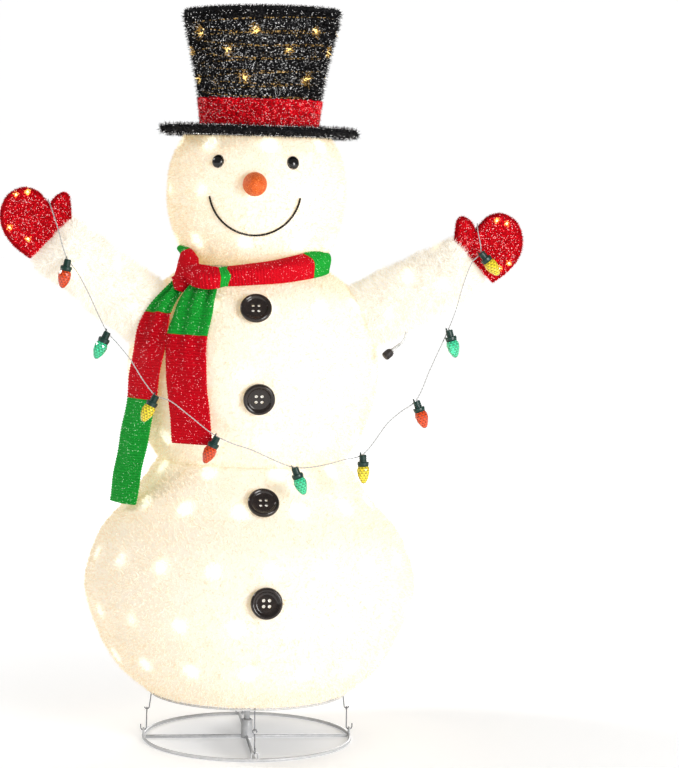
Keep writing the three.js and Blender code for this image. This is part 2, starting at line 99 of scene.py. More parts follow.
BRIM_Z = 1.265
BRIM_RADIUS = 0.203
CROWN_FOOT = 1.2713
CROWN_BASE = 0.114
CROWN_TOP = 0.157
CROWN_HEIGHT = 0.232
# Rise of the top of the crown to the right, for each metre across: the crown has slumped a little.
CROWN_SLOPE = 0.026
NET_THICKNESS = 0.0015
BAND_HEIGHT = 0.058
HAT_TILT = math.radians(0.5)
HAT_SHIFT = 0.003
LAMP_BEHIND_NET = 0.012
# Strips on each part of the hat, and their length.
CROWN_TINSEL = (22000, 0.0140)
LID_TINSEL = (11000, 0.0090)
BRIM_TINSEL = (22000, 0.0135)
BAND_TINSEL = (14000, 0.0075)
TINSEL_WIDTH = 0.0014
# Length and width of the short pale strips.
PALE_TINSEL = (0.0014, 0.0009)

LIGHT_WIRE_RADIUS = 0.0011
# Outlines of the lamps of the light strings, from the wire outwards.
LAMP_FOOT = [(0, -0.004), (0.0018, -0.004), (0.0022, 0.002), (0, 0.002)]
LAMP_TIP = [(0, 0.002), (0.0018, 0.002), (0.0018, 0.006), (0.001, 0.0075), (0, 0.008)]

HEAD_TURN = -5.6
EYE_SPREAD = 25.5
EYE_Z = 1.202
EYE_RADIUS = 0.0125
EYE_DEPTH = 0.009
NOSE_Z = 1.158
NOSE_FLECKS = 2600
# Radius and height above the skin.
NOSE_PROFILE = [
    (0.0232, 0.0), (0.0240, 0.005), (0.0212, 0.016), (0.0155, 0.028), (0.0085, 0.036), (0.0, 0.039),
]
# How far the face stands off the skin of the head.
FACE_PROUD = 0.0012
MOUTH_RADIUS = 0.092
MOUTH_Z = 1.148
MOUTH_PROUD = 0.0035
# Radius of a strand, its distance from the middle of the cord, and the length of one turn.
MOUTH_TWIST = (0.0013, 0.0011, 0.010)

# Knit of the scarf.
RIB_PITCH = 0.0060
RIB_HEIGHT = 0.0011
SCARF_THICKNESS = 0.0022
GLITTER_PER_SQUARE_METRE = 200000
# Share of the flecks that are pale and glow as painted glints.
PALE_GLITTER_SHARE = 0.13

BUTTON_RADIUS = 0.030
# Radius and height above the back of the button.
BUTTON_PROFILE = [
    (0.0300, 0.0005), (0.0316, 0.0040), (0.0306, 0.0088), (0.0276, 0.0110), (0.0244, 0.0100),
    (0.0216, 0.0074), (0.0200, 0.0066), (0.0125, 0.0064), (0.0, 0.0062),
]
BUTTON_HOLE = 0.0033
BUTTON_HOLE_OFFSET = 0.0058
BUTTON_PROUD = 0.0035
# Plush that shows through the holes of a button.
TUFT_PROFILE = [(0, -0.0015), (0.011, -0.0015), (0.011, -0.0004), (0, 0.0022)]
# Height and angle from the front of each button.
BUTTONS = [(0.912, -3.7), (0.737, -1.7), (0.526, 1.5), (0.345, 1.2)]

SLEEVE_RADIUS = 0.060
SLEEVE_COIL_RADIUS = 0.046
SLEEVE_LIGHTS_RADIUS = 0.036
MITTEN_LIFT = math.radians(44.4)
# Side, middle of the shoulder and middle of the cuff of each arm.
ARMS = {
    "left": (-1, (-0.240, -0.045, 0.903), (-0.420, -0.150, 1.043)),
    "right": (1, (0.240, -0.045, 0.900), (0.431, -0.150, 1.010)),
}
# Outline of a mitten in millimetres, along it from the cuff and across it towards the thumb.
MITTEN_OUTLINE = [
    (1, -56), (43, -60), (79, -52), (105, -31), (117, 0), (107, 32), (84, 46), (62, 46),
    (45, 44), (50, 62), (44, 83), (34, 84), (20, 74), (1, 57),
]
MITTEN_THICKNESS = 0.018
MITTEN_BEVEL = 0.004
MITTEN_STRIPS = 15000
# Lamps that show on each mitten, placed the same way.
MITTEN_LAMPS = {
    "left": [(0.108, 0.013), (0.096, 0.033), (0.071, -0.042), (0.030, -0.032)],
    "right": [(0.028, -0.044), (0.050, -0.050), (0.101, 0.012), (0.090, 0.030)],
}

GARLAND_DIAMETER = 0.0026
GARLAND_ROUTE = [
    (-0.425, -0.150, 1.120), (-0.420, -0.166, 1.107), (-0.405, -0.188, 1.063), (-0.394, -0.201, 1.024),
    (-0.385, -0.204, 1.003), (-0.366, -0.207, 0.978), (-0.347, -0.208, 0.944), (-0.306, -0.212, 0.862),
    (-0.286, -0.216, 0.840), (-0.262, -0.220, 0.811), (-0.232, -0.229, 0.765), (-0.210, -0.237, 0.740),
    (-0.196, -0.240, 0.735), (-0.180, -0.244, 0.729), (-0.145, -0.251, 0.703), (-0.099, -0.258, 0.668),
    (-0.062, -0.261, 0.650), (-0.024, -0.264, 0.638), (0.064, -0.263, 0.603), (0.115, -0.261, 0.606),
    (0.162, -0.258, 0.618), (0.200, -0.253, 0.628), (0.252, -0.244, 0.692), (0.278, -0.241, 0.714),
    (0.307, -0.235, 0.735), (0.337, -0.226, 0.800), (0.372, -0.215, 0.876), (0.385, -0.213, 0.910),
    (0.402, -0.207, 0.968), (0.421, -0.194, 1.012), (0.439, -0.182, 1.030), (0.435, -0.166, 1.074),
    (0.436, -0.150, 1.088),
]
BULB_FORWARD = 0.009
BULB_NECK = [(0, 0.001), (0.0062, 0.001), (0.0070, -0.0005), (0.0072, -0.0130), (0, -0.0130)]
BULB_COLLAR = [
    (0, -0.0125), (0.0102, -0.0125), (0.0115, -0.0140), (0.0115, -0.0185), (0.0106, -0.0200),
    (0.0111, -0.0215), (0.0100, -0.0225), (0, -0.0225),
]
# Radius and height below the cord of each row of the lens.
LENS_RINGS = [
    (0.0100, -0.0215), (0.0123, -0.0262), (0.0130, -0.0312), (0.0126, -0.0363), (0.0115, -0.0414),
    (0.0097, -0.0462), (0.0074, -0.0509), (0.0046, -0.0552),
]
LENS_TIP = -0.0574
LENS_SIDES = 10
# Body, place on the cord and lean to the right in degrees of each bulb.
BULBS = [
    ("shoulders", (-0.385, -0.204, 1.003), -11),
    ("garland_sides", (-0.306, -0.212, 0.862), -24),
    ("garland", (-0.210, -0.237, 0.740), -27),
    ("garland", (-0.090, -0.259, 0.662), -25),
    ("garland", (0.064, -0.263, 0.603), 21),
    ("garland", (0.200, -0.253, 0.628), 3),
    ("garland", (0.307, -0.235, 0.735), 20),
    ("garland_sides", (0.372, -0.215, 0.876), 16),
    ("shoulders", (0.439, -0.182, 1.030), 40),
]
LEAD_DIAMETER = 0.0054
LEAD_ROUTE = [
    (0.303, -0.108, 0.864), (0.300, -0.109, 0.853), (0.295, -0.111, 0.844),
    (0.285, -0.115, 0.835), (0.274, -0.119, 0.827),
]
CONNECTOR_CENTRE = (0.264, -0.122, 0.819)
CONNECTOR_HALF = 0.0095
CONNECTOR_RIDGES = 20

# Strength of the even studio light, and watts of the three lamps.
AMBIENT = 0.33
KEY_POWER = 62
FILL_POWER = 226
BACK_POWER = 90


# ---- materials -----------------------------------------------------------------------
def fill(node, values):
    """Sets inputs of a shader node by name."""
    for key, value in values.items():
        node.inputs[key].default_value = value


def plain(name, colour, roughness=0.5, metallic=0.0, glow=None, transmission=0.0, coat=0.0, specular=0.5):
    """One colour and finish, with no textures. glow is the light it gives off, as a colour."""
    material = bpy.data.materials.new(name)
    material.use_nodes = True
    shader = material.node_tree.nodes["Principled BSDF"]
    fill(shader, {
        "Base Color": (*colour, 1), "Roughness": roughness, "Metallic": metallic,
        "Transmission Weight": transmission, "Coat Weight": coat, "Coat Roughness": 0.08,
        "Specular IOR Level": specular,
    })
    if glow:
        fill(shader, {"Emission Color": (*glow, 1), "Emission Strength": 1.0})
    return material


class Graph:
    """Short way to add and link shader nodes of one material."""

    def __init__(self, material):
        self.tree = material.node_tree
        self.shader = self.tree.nodes["Principled BSDF"]
        self.place = self.add("ShaderNodeTexCoord").outputs["Object"]

    def add(self, kind, **settings):
        node = self.tree.nodes.new(kind)
        for key, value in settings.items():
            setattr(node, key, value)
        return node

    def link(self, output, target):
        self.tree.links.new(output, target)

    def noise(self, scale, detail=2.0, roughness=0.5):
        node = self.add("ShaderNodeTexNoise")
        fill(node, {"Scale": scale, "Detail": detail, "Roughness": roughness})
        self.link(self.place, node.inputs["Vector"])
        return node.outputs["Fac"]

    def ramp(self, value, low, high, dark, light):
        """Blend of two colours over the range low to high of a value."""
        node = self.add("ShaderNodeValToRGB")
        for stop, position, colour in zip(node.color_ramp.elements, (low, high), (dark, light)):
            stop.position = position
            stop.color = (*colour, 1)
        self.link(value, node.inputs["Fac"])
        return node.outputs["Color"]

    def bump(self, height, strength, distance):
        node = self.add("ShaderNodeBump")
        fill(node, {"Strength": strength, "Distance": distance})
        self.link(height, node.inputs["Height"])
        self.link(node.outputs["Normal"], self.shader.inputs["Normal"])


def speckled(name, dark, light, scale, roughness=0.6, metallic=0.0, bump=0.4, coat=0.0, specular=0.5):
    """Fine mottled surface in two close colours."""
    material = plain(name, light, roughness, metallic, coat=coat, specular=specular)
    graph = Graph(material)
    fine = graph.noise(scale, 4, 0.65)
    graph.link(graph.ramp(fine, 0.35, 0.65, dark, light), graph.shader.inputs["Base Color"])
    graph.bump(fine, bump, 0.001)
    return material


def plush_cloth(name, painted_glow, full):
    """Short-pile white cloth with a painted glow for the warm lamp light that comes through: a little
    everywhere, and more where the glow attribute says.
    """
    material = plain(name, (0.85, 0.84, 0.82), 1.0, specular=0.1)
    graph = Graph(material)
    tuft = graph.noise(520, 4, 0.75)
    tufts = graph.ramp(tuft, 0.25, 0.75, (0.70, 0.68, 0.63), (0.90, 0.89, 0.87))
    graph.link(tufts, graph.shader.inputs["Base Color"])
    graph.bump(tuft, 0.8, 0.0015)
    # Painted glow: emission from the glow attribute stands in for lamp light through the cloth.
    attribute = graph.add("ShaderNodeAttribute", attribute_name="glow")
    warm = graph.ramp(attribute.outputs["Fac"], 0.0, 1.0, painted_glow, full)
    graph.link(warm, graph.shader.inputs["Emission Color"])
    graph.shader.inputs["Emission Strength"].default_value = 1.0
    return material


def pile_finishes(name, painted_glow, full):
    """Fibres of the plush: two whites, one in the halo of a lamp and one right over it. All carry a painted
    glow for the lamp light through the cloth, strongest over a lamp.
    """
    painted_glow, full = np.array(painted_glow), np.array(full)
    return [
        plain(name + "_white", (0.88, 0.87, 0.85), 1.0, glow=tuple(painted_glow), specular=0.1),
        plain(name + "_cream", (0.70, 0.67, 0.60), 1.0, glow=tuple(painted_glow), specular=0.1),
        plain(name + "_halo", (0.86, 0.84, 0.78), 1.0, glow=tuple(painted_glow * 0.6 + full * 0.4), specular=0.1),
        plain(name + "_bright", (0.88, 0.86, 0.80), 1.0, glow=tuple(full), specular=0.1),
    ]


def net_cloth(name):
    """Sheer black net with open gaps between its threads."""
    material = plain(name, (0.004, 0.004, 0.005), 0.6, specular=0.1)
    graph = Graph(material)
    holes = graph.ramp(graph.noise(260, 1, 0.4), 0.46, 0.48, (1, 1, 1), (0, 0, 0))
    graph.link(holes, graph.shader.inputs["Alpha"])
    return material


def glitter_cloth(name, dark, light):
    """Knitted cloth: fine loops in two shades."""
    material = plain(name, light, 0.7, specular=0.1)
    graph = Graph(material)
    loops = graph.noise(900, 2, 0.6)
    graph.link(graph.ramp(loops, 0.35, 0.62, dark, light), graph.shader.inputs["Base Color"])
    graph.bump(loops, 0.6, 0.0008)
    return material


def lens_pair(name, colour, transmission, glow):
    """Bright and shaded facets of a tinted lens: the bright one with a faint painted glow, the shaded one a
    darker copy of the colour as painted shade.
    """
    shaded = tuple(0.45 * np.array(colour))
    return [
        plain("lens_" + name, colour, 0.10, transmission=transmission, coat=0.6, glow=glow),
        plain("lens_" + name + "_facet", shaded, 0.10, transmission=transmission, coat=0.3),
    ]


# Painted glow of the plush, as colours: an even glow for lamp light through the cloth, and a stronger one
# over a lamp.
BALL_GLOW = ((0.245, 0.160, 0.045), (0.56, 0.50, 0.35))
# The sleeves' even painted glow is near white: it brightens the shade the long pile casts on itself, besides
# standing in for lamp light through the cloth.
SLEEVE_GLOW = ((0.225, 0.205, 0.170), (0.50, 0.44, 0.30))

BALL_PLUSH = plush_cloth("plush_ball", *BALL_GLOW)
BALL_PILE = pile_finishes("pile_ball", *BALL_GLOW)
SLEEVE_PLUSH = plush_cloth("plush_sleeve", *SLEEVE_GLOW)
SLEEVE_PILE = pile_finishes("pile_sleeve", *SLEEVE_GLOW)
LINING = plain("plush_lining", (0.74, 0.72, 0.68), 1.0, specular=0.1)
STEEL = speckled("white_paint", (0.50, 0.51, 0.52), (0.60, 0.60, 0.61), 90, 0.35, bump=0.1, coat=0.3)
ZINC = speckled("zinc_wire", (0.16, 0.165, 0.18), (0.34, 0.35, 0.37), 300, 0.35, 0.8, 0.2)
SPRING_WIRE = plain("spring_wire", (0.50, 0.48, 0.45), 0.3, 0.9)
CLEAR_WIRE = plain("light_wire", (0.82, 0.82, 0.78), 0.35, coat=0.3)
LAMP_SOCKET = plain("lamp_socket", (0.80, 0.79, 0.75), 0.4)
LAMP = plain("lamp", (1.0, 0.8, 0.5), 0.3, glow=(2.4, 1.8, 0.9))
NET = net_cloth("hat_net")
BLACK_FELT = speckled("hat_backing", (0.003, 0.003, 0.004), (0.012, 0.012, 0.013), 700, 0.8,
                      bump=0.8, specular=0.1)
BLACK_TINSEL = [
    plain("tinsel_black", (0.004, 0.004, 0.005), 0.5, specular=0.12),
    plain("tinsel_graphite", (0.022, 0.020, 0.021), 0.4, specular=0.3),
    # Silver strips are pale flecks that glow with painted glints.
    plain("tinsel_silver_painted_glint", (0.95, 0.95, 0.96), 0.4, glow=(1.15, 1.12, 1.08)),
    # Amber and gold strips are painted lamp light: a dim glow near a lamp and a bright one right over it.
    plain("tinsel_painted_lamp_halo", (0.30, 0.17, 0.04), 0.5, glow=(0.26, 0.14, 0.025)),
    plain("tinsel_painted_lamp_glint", (1.0, 0.75, 0.30), 0.4, glow=(1.9, 1.30, 0.42)),
]
# Wire rings in the crown, with a painted golden glow for the lamp light they catch.
LIT_WIRE = plain("hat_wire_painted_lamplight", (0.62, 0.42, 0.18), 0.3, 0.6, glow=(0.34, 0.20, 0.05))
RED_BACKING = speckled("red_backing", (0.20, 0.0, 0.002), (0.50, 0.001, 0.006), 600, 0.7,
                       bump=0.8, specular=0.08)
# Red and scarlet strips have a faint painted glow that brightens them, pink strips a painted glint, and the
# lit strips painted lamp light.
RED_TINSEL = [
    plain("tinsel_red", (0.85, 0.001, 0.012), 0.6, glow=(0.07, 0.0, 0.001), specular=0.08),
    plain("tinsel_wine", (0.36, 0.0, 0.003), 0.6, specular=0.08),
    plain("tinsel_scarlet", (1.0, 0.015, 0.035), 0.5, glow=(0.20, 0.002, 0.005), specular=0.1),
    plain("tinsel_pink_painted_glint", (1.0, 0.62, 0.62), 0.5, specular=0.3, glow=(0.80, 0.50, 0.50)),
    plain("tinsel_lit", (1.0, 0.42, 0.10), 0.5, glow=(2.2, 0.95, 0.22)),
]
RED_KNIT = glitter_cloth("knit_red", (0.26, 0.0, 0.003), (0.76, 0.0, 0.012))
GREEN_KNIT = glitter_cloth("knit_green", (0.002, 0.13, 0.010), (0.012, 0.46, 0.045))
# The pale pink and mint flecks glow with painted glints.
FLECKS = [
    plain("fleck_red", (0.90, 0.015, 0.035), 0.5, specular=0.1),
    plain("fleck_pink_painted_glint", (1.0, 0.66, 0.68), 0.5, glow=(0.90, 0.62, 0.64)),
    plain("fleck_green", (0.04, 0.62, 0.09), 0.5, specular=0.1),
    plain("fleck_mint_painted_glint", (0.72, 1.0, 0.70), 0.5, glow=(0.60, 0.90, 0.58)),
]
BLACK_GLOSS = plain("eye_gloss", (0.003, 0.003, 0.003), 0.12, coat=0.5, specular=0.25)
NOSE = speckled("nose_glitter", (0.50, 0.045, 0.004), (0.86, 0.17, 0.02), 420, 0.5, bump=1.0, specular=0.3)
MOUTH = plain("mouth_cord", (0.008, 0.007, 0.007), 0.6, specular=0.2)
CORD = plain("garland_wire", (0.46, 0.46, 0.45), 0.45)
BUTTON = speckled("button_gloss", (0.010, 0.006, 0.005), (0.022, 0.014, 0.011), 60, 0.16,
                  bump=0.05, coat=0.35, specular=0.3)
# Plush in the button holes, with a painted glow that lifts the shade inside the holes.
HOLE_PLUSH = plain("button_hole_plush_painted_glow", (0.88, 0.87, 0.84), 1.0, glow=(0.70, 0.66, 0.58), specular=0.1)
SOCKET = plain("bulb_socket", (0.004, 0.030, 0.022), 0.35, coat=0.2, specular=0.3)
LENSES = [
    lens_pair("red", (0.82, 0.070, 0.003), 0.2, (0.08, 0.008, 0.0)),
    lens_pair("green", (0.07, 0.78, 0.40), 0.4, (0.0, 0.08, 0.035)),
    lens_pair("yellow", (0.98, 0.80, 0.03), 0.3, (0.10, 0.075, 0.0)),
]
# The pale nose flecks glow with painted glints.
NOSE_GRIT = [
    plain("nose_fleck_deep", (0.55, 0.05, 0.004), 0.4, 0.2),
    plain("nose_fleck_orange", (1.0, 0.33, 0.07), 0.3, 0.3),
    plain("nose_fleck_pale_painted_glint", (1.0, 0.70, 0.28), 0.3, glow=(0.45, 0.22, 0.04)),
]
CONNECTOR = speckled("connector_plastic", (0.014, 0.010, 0.009), (0.035, 0.026, 0.022), 200, 0.45, bump=0.2)
CLEAR_VINYL = plain("clear_vinyl", (0.80, 0.80, 0.78), 0.2, transmission=0.35, coat=0.5)


# ---- shapes --------------------------------------------------------------------------
def unit(rows):
    """Each row of an array at length one."""
    return rows / np.linalg.norm(rows, axis=1)[:, None]


def travel(points):
    """Distance along a line from its start to each of its points."""
    return np.concatenate([[0], np.cumsum(np.linalg.norm(np.diff(points, axis=0), axis=1))])


def gap_to(points, marks):
    """Distance from each point to the nearest of the marks."""
    return np.linalg.norm(points[:, None, :] - marks[None, :, :], axis=2).min(axis=1)


def profile_radius(profile, z):
    return np.interp(z, profile[:, 1], profile[:, 0])


def smooth_curve(points, count):
    """Even samples of a centripetal Catmull-Rom curve through the points, both ends included."""
    points = np.array(points, float)
    ends = np.vstack([2 * points[0] - points[1], points, 2 * points[-1] - points[-2]])
    fine = []
    for i in range(1, len(ends) - 2):
        p0, p1, p2, p3 = ends[i - 1:i + 3]
        t1 = np.linalg.norm(p1 - p0) ** 0.5
        t2 = t1 + np.linalg.norm(p2 - p1) ** 0.5
        t3 = t2 + np.linalg.norm(p3 - p2) ** 0.5
        t = np.linspace(t1, t2, 40, endpoint=False)[:, None]
        a1 = (t1 - t) / t1 * p0 + t / t1 * p1
        a2 = (t2 - t) / (t2 - t1) * p1 + (t - t1) / (t2 - t1) * p2
        a3 = (t3 - t) / (t3 - t2) * p2 + (t - t2) / (t3 - t2) * p3
        b1 = (t2 - t) / t2 * a1 + t / t2 * a2
        b2 = (t3 - t) / (t3 - t1) * a2 + (t - t1) / (t3 - t1) * a3
        fine.append((t2 - t) / (t2 - t1) * b1 + (t - t1) / (t2 - t1) * b2)
    fine = np.vstack(fine + [points[-1:]])
    reached = travel(fine)
    wanted = np.linspace(0, reached[-1], count + 1)
    return np.stack([np.interp(wanted, reached, column) for column in fine.T], axis=1)


def metres(profile):
    return np.array(profile, float) / 1000


LOWER = smooth_curve(metres(LOWER_PROFILE), 60)
UPPER = smooth_curve(metres(UPPER_PROFILE), 60)
HEAD = smooth_curve(metres(HEAD_PROFILE), 60)


def around(azimuth, radius, z):
    """Point at an angle in degrees from the front and a distance from the axis."""
    angle = np.radians(azimuth)
    return np.stack(np.broadcast_arrays(radius * np.sin(angle), -radius * np.cos(angle), z), axis=-1)


class Shape:
    """Vertices and faces of one piece as it grows, each part with its own material number."""

    def __init__(self):
        self.vertices = []
        self.faces = []
        self.slots = []
        self.count = 0

    def add(self, vertices, face_sets, slot=0):
        """Adds sets of faces. slot is a material number, one for each face, or a list of either by set."""
        slots = slot if isinstance(slot, list) else [slot] * len(face_sets)
        for faces, numbers in zip(face_sets, slots):
            self.faces.append(np.asarray(faces) + self.count)
            self.slots.append(np.broadcast_to(numbers, len(faces)))
        self.vertices.append(np.asarray(vertices, float))
        self.count += len(vertices)
        return self

    def triangles(self):
        flat = []
        for faces in self.faces:
            for k in range(1, faces.shape[1] - 1):
                flat.append(faces[:, [0, k, k + 1]])
        return np.vstack(self.vertices), np.vstack(flat)

    def build(self, name, materials, smooth=True, transform=None):
        vertices = np.vstack(self.vertices)
        if transform is not None:
            matrix = np.array(transform)
            vertices = vertices @ matrix[:3, :3].T + matrix[:3, 3]
        corners = np.concatenate([faces.ravel() for faces in self.faces])
        sizes = np.concatenate([np.full(len(faces), faces.shape[1]) for faces in self.faces])
        mesh = bpy.data.meshes.new(name)
        mesh.vertices.add(len(vertices))
        mesh.vertices.foreach_set("co", vertices.astype(np.float32).ravel())
        mesh.loops.add(len(corners))
        mesh.loops.foreach_set("vertex_index", corners.astype(np.int32))
        mesh.polygons.add(len(sizes))
        mesh.polygons.foreach_set("loop_start", (np.cumsum(sizes) - sizes).astype(np.int32))
        mesh.polygons.foreach_set("material_index", np.concatenate(self.slots).astype(np.int32))
        mesh.polygons.foreach_set("use_smooth", np.full(len(sizes), smooth))
        mesh.update(calc_edges=True)
        for material in materials:
            mesh.materials.append(material)
        piece = bpy.data.objects.new(name, mesh)
        bpy.context.scene.collection.objects.link(piece)
        return piece


def grid_faces(rows, columns, wrap_rows, wrap_columns):
    """Quads of a grid of vertices numbered row by row."""
    i = np.arange(rows if wrap_rows else rows - 1)[:, None]
    j = np.arange(columns if wrap_columns else columns - 1)[None, :]
    down, right = (i + 1) % rows, (j + 1) % columns
    quads = [i * columns + j, i * columns + right, down * columns + right, down * columns + j]
    return np.stack(np.broadcast_arrays(*quads), axis=-1).reshape(-1, 4)


def circles(profile, segments):
    """Rings of points about Z, one for each radius and height of the profile."""
    profile = np.array(profile, float)
    angle = np.arange(segments) * 2 * math.pi / segments
    ring = np.stack([np.cos(angle), np.sin(angle)], axis=1)
    levels = np.repeat(profile[:, None, 1:2], segments, 1)
    return np.concatenate([profile[:, None, 0:1] * ring, levels], axis=2)


def tube(vertices, rows, sides, closed, first, last):
    """Faces of a tube of vertices, joined end to end or capped at two points."""
    faces = [grid_faces(rows, sides, closed, True)]
    if closed:
        return vertices, faces
    j = np.arange(sides)
    after = (j + 1) % sides
    end = (rows - 1) * sides
    count = len(vertices)
    faces.append(np.stack([np.full(sides, count), after, j], axis=1))
    faces.append(np.stack([np.full(sides, count + 1), end + j, end + after], axis=1))
    return np.vstack([vertices, [first, last]]), faces


def revolve(profile, segments, closed=False):
    """Solid of revolution about Z. An open profile starts and ends on the axis."""
    body = profile if closed else profile[1:-1]
    vertices = circles(body, segments).reshape(-1, 3)
    return tube(vertices, len(body), segments, closed, (0, 0, profile[0][1]), (0, 0, profile[-1][1]))


def sweep(points, radius, sides=10, closed=False):
    """Round rod along points."""
    points = np.array(points, float)
    count = len(points)
    if closed:
        tangents = unit(np.roll(points, -1, 0) - np.roll(points, 1, 0))
    else:
        tangents = unit(np.gradient(points, axis=0))
    start = np.array([0, 0, 1.0]) if abs(tangents[0][2]) < 0.9 else np.array([1.0, 0, 0])
    across = [start - tangents[0] * (start @ tangents[0])]
    for tangent in tangents[1:]:
        across.append(across[-1] - tangent * (across[-1] @ tangent))
    across = unit(np.array(across))
    other = np.cross(tangents, across)
    angle = np.arange(sides) * 2 * math.pi / sides
    ring = across[:, None, :] * np.cos(angle)[:, None] + other[:, None, :] * np.sin(angle)[:, None]
    vertices = (points[:, None, :] + radius * ring).reshape(-1, 3)
    return tube(vertices, count, sides, closed, points[0], points[-1])


def rod(*line, **options):
    """Piece that is one round rod."""
    return Shape().add(*sweep(*line, **options))


def turned(*outline, **options):
    """Piece that is one solid of revolution."""
    return Shape().add(*revolve(*outline, **options))


def scatter(shape, count, rng):
    """Random points on a shape, even over its area, with the face normals there."""
    vertices, triangles = shape.triangles()
    a, b, c = (vertices[triangles[:, k]] for k in range(3))
    normals = np.cross(b - a, c - a)
    areas = np.linalg.norm(normals, axis=1)
    chosen = rng.choice(len(triangles), count, p=areas / areas.sum())
    u, v = rng.random((2, count, 1))
    flip = u + v > 1
    u, v = np.where(flip, 1 - u, u), np.where(flip, 1 - v, v)
    points = a[chosen] * (1 - u - v) + b[chosen] * u + c[chosen] * v
    return points, normals[chosen] / areas[chosen][:, None]


def fibres(name, roots, normals, length, width, lean, materials, slots, rng, flat=1.0, transform=None):
    """One piece of many thin closed spikes that stand on a surface."""
    count = len(roots)
    direction = unit(normals + lean * rng.normal(size=(count, 3)))
    side = unit(np.cross(direction, rng.normal(size=(count, 3))))
    other = np.cross(direction, side)
    reach = length * rng.uniform(0.55, 1.15, (count, 1))
    foot = roots - direction * width
    corners = [
        foot + side * width,
        foot - side * width * 0.5 + other * width * 0.87 * flat,
        foot - side * width * 0.5 - other * width * 0.87 * flat,
        foot + direction * reach,
    ]
    vertices = np.stack(corners, axis=1).reshape(-1, 3)
    first = np.arange(count)[:, None] * 4
    faces = [first + np.array(corner) for corner in ((0, 1, 3), (1, 2, 3), (2, 0, 3), (0, 2, 1))]
    shape = Shape()
    shape.add(vertices, [np.stack(faces, axis=1).reshape(-1, 3)], np.repeat(slots, 4))
    return shape.build(name, materials, smooth=False, transform=transform)


def evaluated(piece):
    """Mesh of a curve or of an object with its modifiers applied."""
    bpy.context.view_layer.update()
    return bpy.data.meshes.new_from_object(piece.evaluated_get(bpy.context.evaluated_depsgraph_get()))


def place(piece, body, slot, *nodes, squash=None):
    """Puts a piece on its CAD body and has it stand for CAD nodes; slot, the name of its finish, is not
    used.
    """
    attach(piece, body)
    if nodes:
        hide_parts(*nodes)
    if squash:
        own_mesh(piece)
    return piece


def on_skin(profile, azimuth, z, proud, span=0):
    """Frame of a piece made along +Z that stands on a skin, leaning with the skin over the piece's span."""
    spot = around(azimuth, profile_radius(profile, z) + proud, z)
    lean = 0
    if span:
        lean = math.atan2(profile_radius(profile, z - span) - profile_radius(profile, z + span), 2 * span)
    turn = Matrix.Rotation(math.radians(azimuth), 4, "Z") @ Matrix.Rotation(math.pi / 2 - lean, 4, "X")
    return Matrix.Translation(Vector(spot)) @ turn


# ---- camera, floor and light -----------------------------------------------------------
def camera():
    """Stands where the photographer stood: a long lens a little left of the front, looking slightly down."""
    azimuth, distance, height = math.radians(-4.465), 5.1103, 1.1889
    yaw, pitch, roll = math.radians(-2.0074), math.radians(4.9332), math.radians(1.228)
    data = bpy.data.cameras.new("camera")
    data.lens = 115.98
    data.sensor_width = 36
    data.clip_end = 100
    eye = bpy.data.objects.new("camera", data)
    bpy.context.scene.collection.objects.link(eye)
    heading = azimuth + yaw
    level = Matrix.Rotation(heading, 4, "Z") @ Matrix.Rotation(math.pi / 2 - pitch, 4, "X")
    spot = Vector((math.sin(azimuth) * distance, -math.cos(azimuth) * distance, height))
    eye.matrix_world = Matrix.Translation(spot) @ level @ Matrix.Rotation(roll, 4, "Z")
    bpy.context.scene.camera = eye


def area_light(name, spot, aim, size, energy, colour=(1, 1, 1)):
    data = bpy.data.lights.new(name, "AREA")
    data.size = size
    data.energy = energy
    data.color = colour
    lamp = bpy.data.objects.new(name, data)
    bpy.context.scene.collection.objects.link(lamp)
    lamp.location = spot
    lamp.rotation_euler = (Vector(aim) - Vector(spot)).to_track_quat("-Z", "Y").to_euler()


def studio():
    world = bpy.data.worlds.new("studio")
    world.use_nodes = True
    fill(world.node_tree.nodes["Background"], {"Color": (1, 1, 1, 1), "Strength": AMBIENT})
    bpy.context.scene.world = world
    bpy.context.scene.view_settings.view_transform = "Standard"

    floor = turned([(0, -0.02), (28, -0.02), (28, -0.0005), (0, -0.0005)], 64)
    floor.build("floor", [floor_finish()], smooth=False)
    angle = np.linspace(-math.pi / 2, math.pi / 2, 25)
    bowl = [(26 * max(math.cos(a), 0), 26 * math.sin(a)) for a in angle]
    white = plain("backdrop", (0, 0, 0), 1.0, glow=(1, 1, 1))
    backdrop = turned(bowl, 64).build("backdrop", [white])
    for ray in ("diffuse", "glossy", "transmission", "shadow"):
        setattr(backdrop, "visible_" + ray, False)
    area_light("key", (-3.6, 0.9, 3.0), (0, 0, 0.6), 0.8, KEY_POWER)
    area_light("fill", (2.8, -4.6, 1.6), (0.1, 0, 0.8), 2.2, FILL_POWER)
    area_light("back", (1.5, 4.6, 1.8), (0, 0, 0.8), 2.2, BACK_POWER)


def floor_finish():
    """White floor that brightens with distance, so that it runs into the backdrop with no line."""
    material = plain("floor", (0.84, 0.84, 0.84), 1.0)
    graph = Graph(material)
    distance = graph.add("ShaderNodeVectorMath", operation="LENGTH")
    graph.link(graph.place, distance.inputs[0])
    share = graph.add("ShaderNodeMapRange")
    fill(share, {"From Min": 0.5, "From Max": 3.5, "To Min": 0.29, "To Max": 0.80})
    graph.link(distance.outputs["Value"], share.inputs["Value"])
    graph.shader.inputs["Emission Color"].default_value = (1, 1, 1, 1)
    graph.link(share.outputs["Result"], graph.shader.inputs["Emission Strength"])
    return material


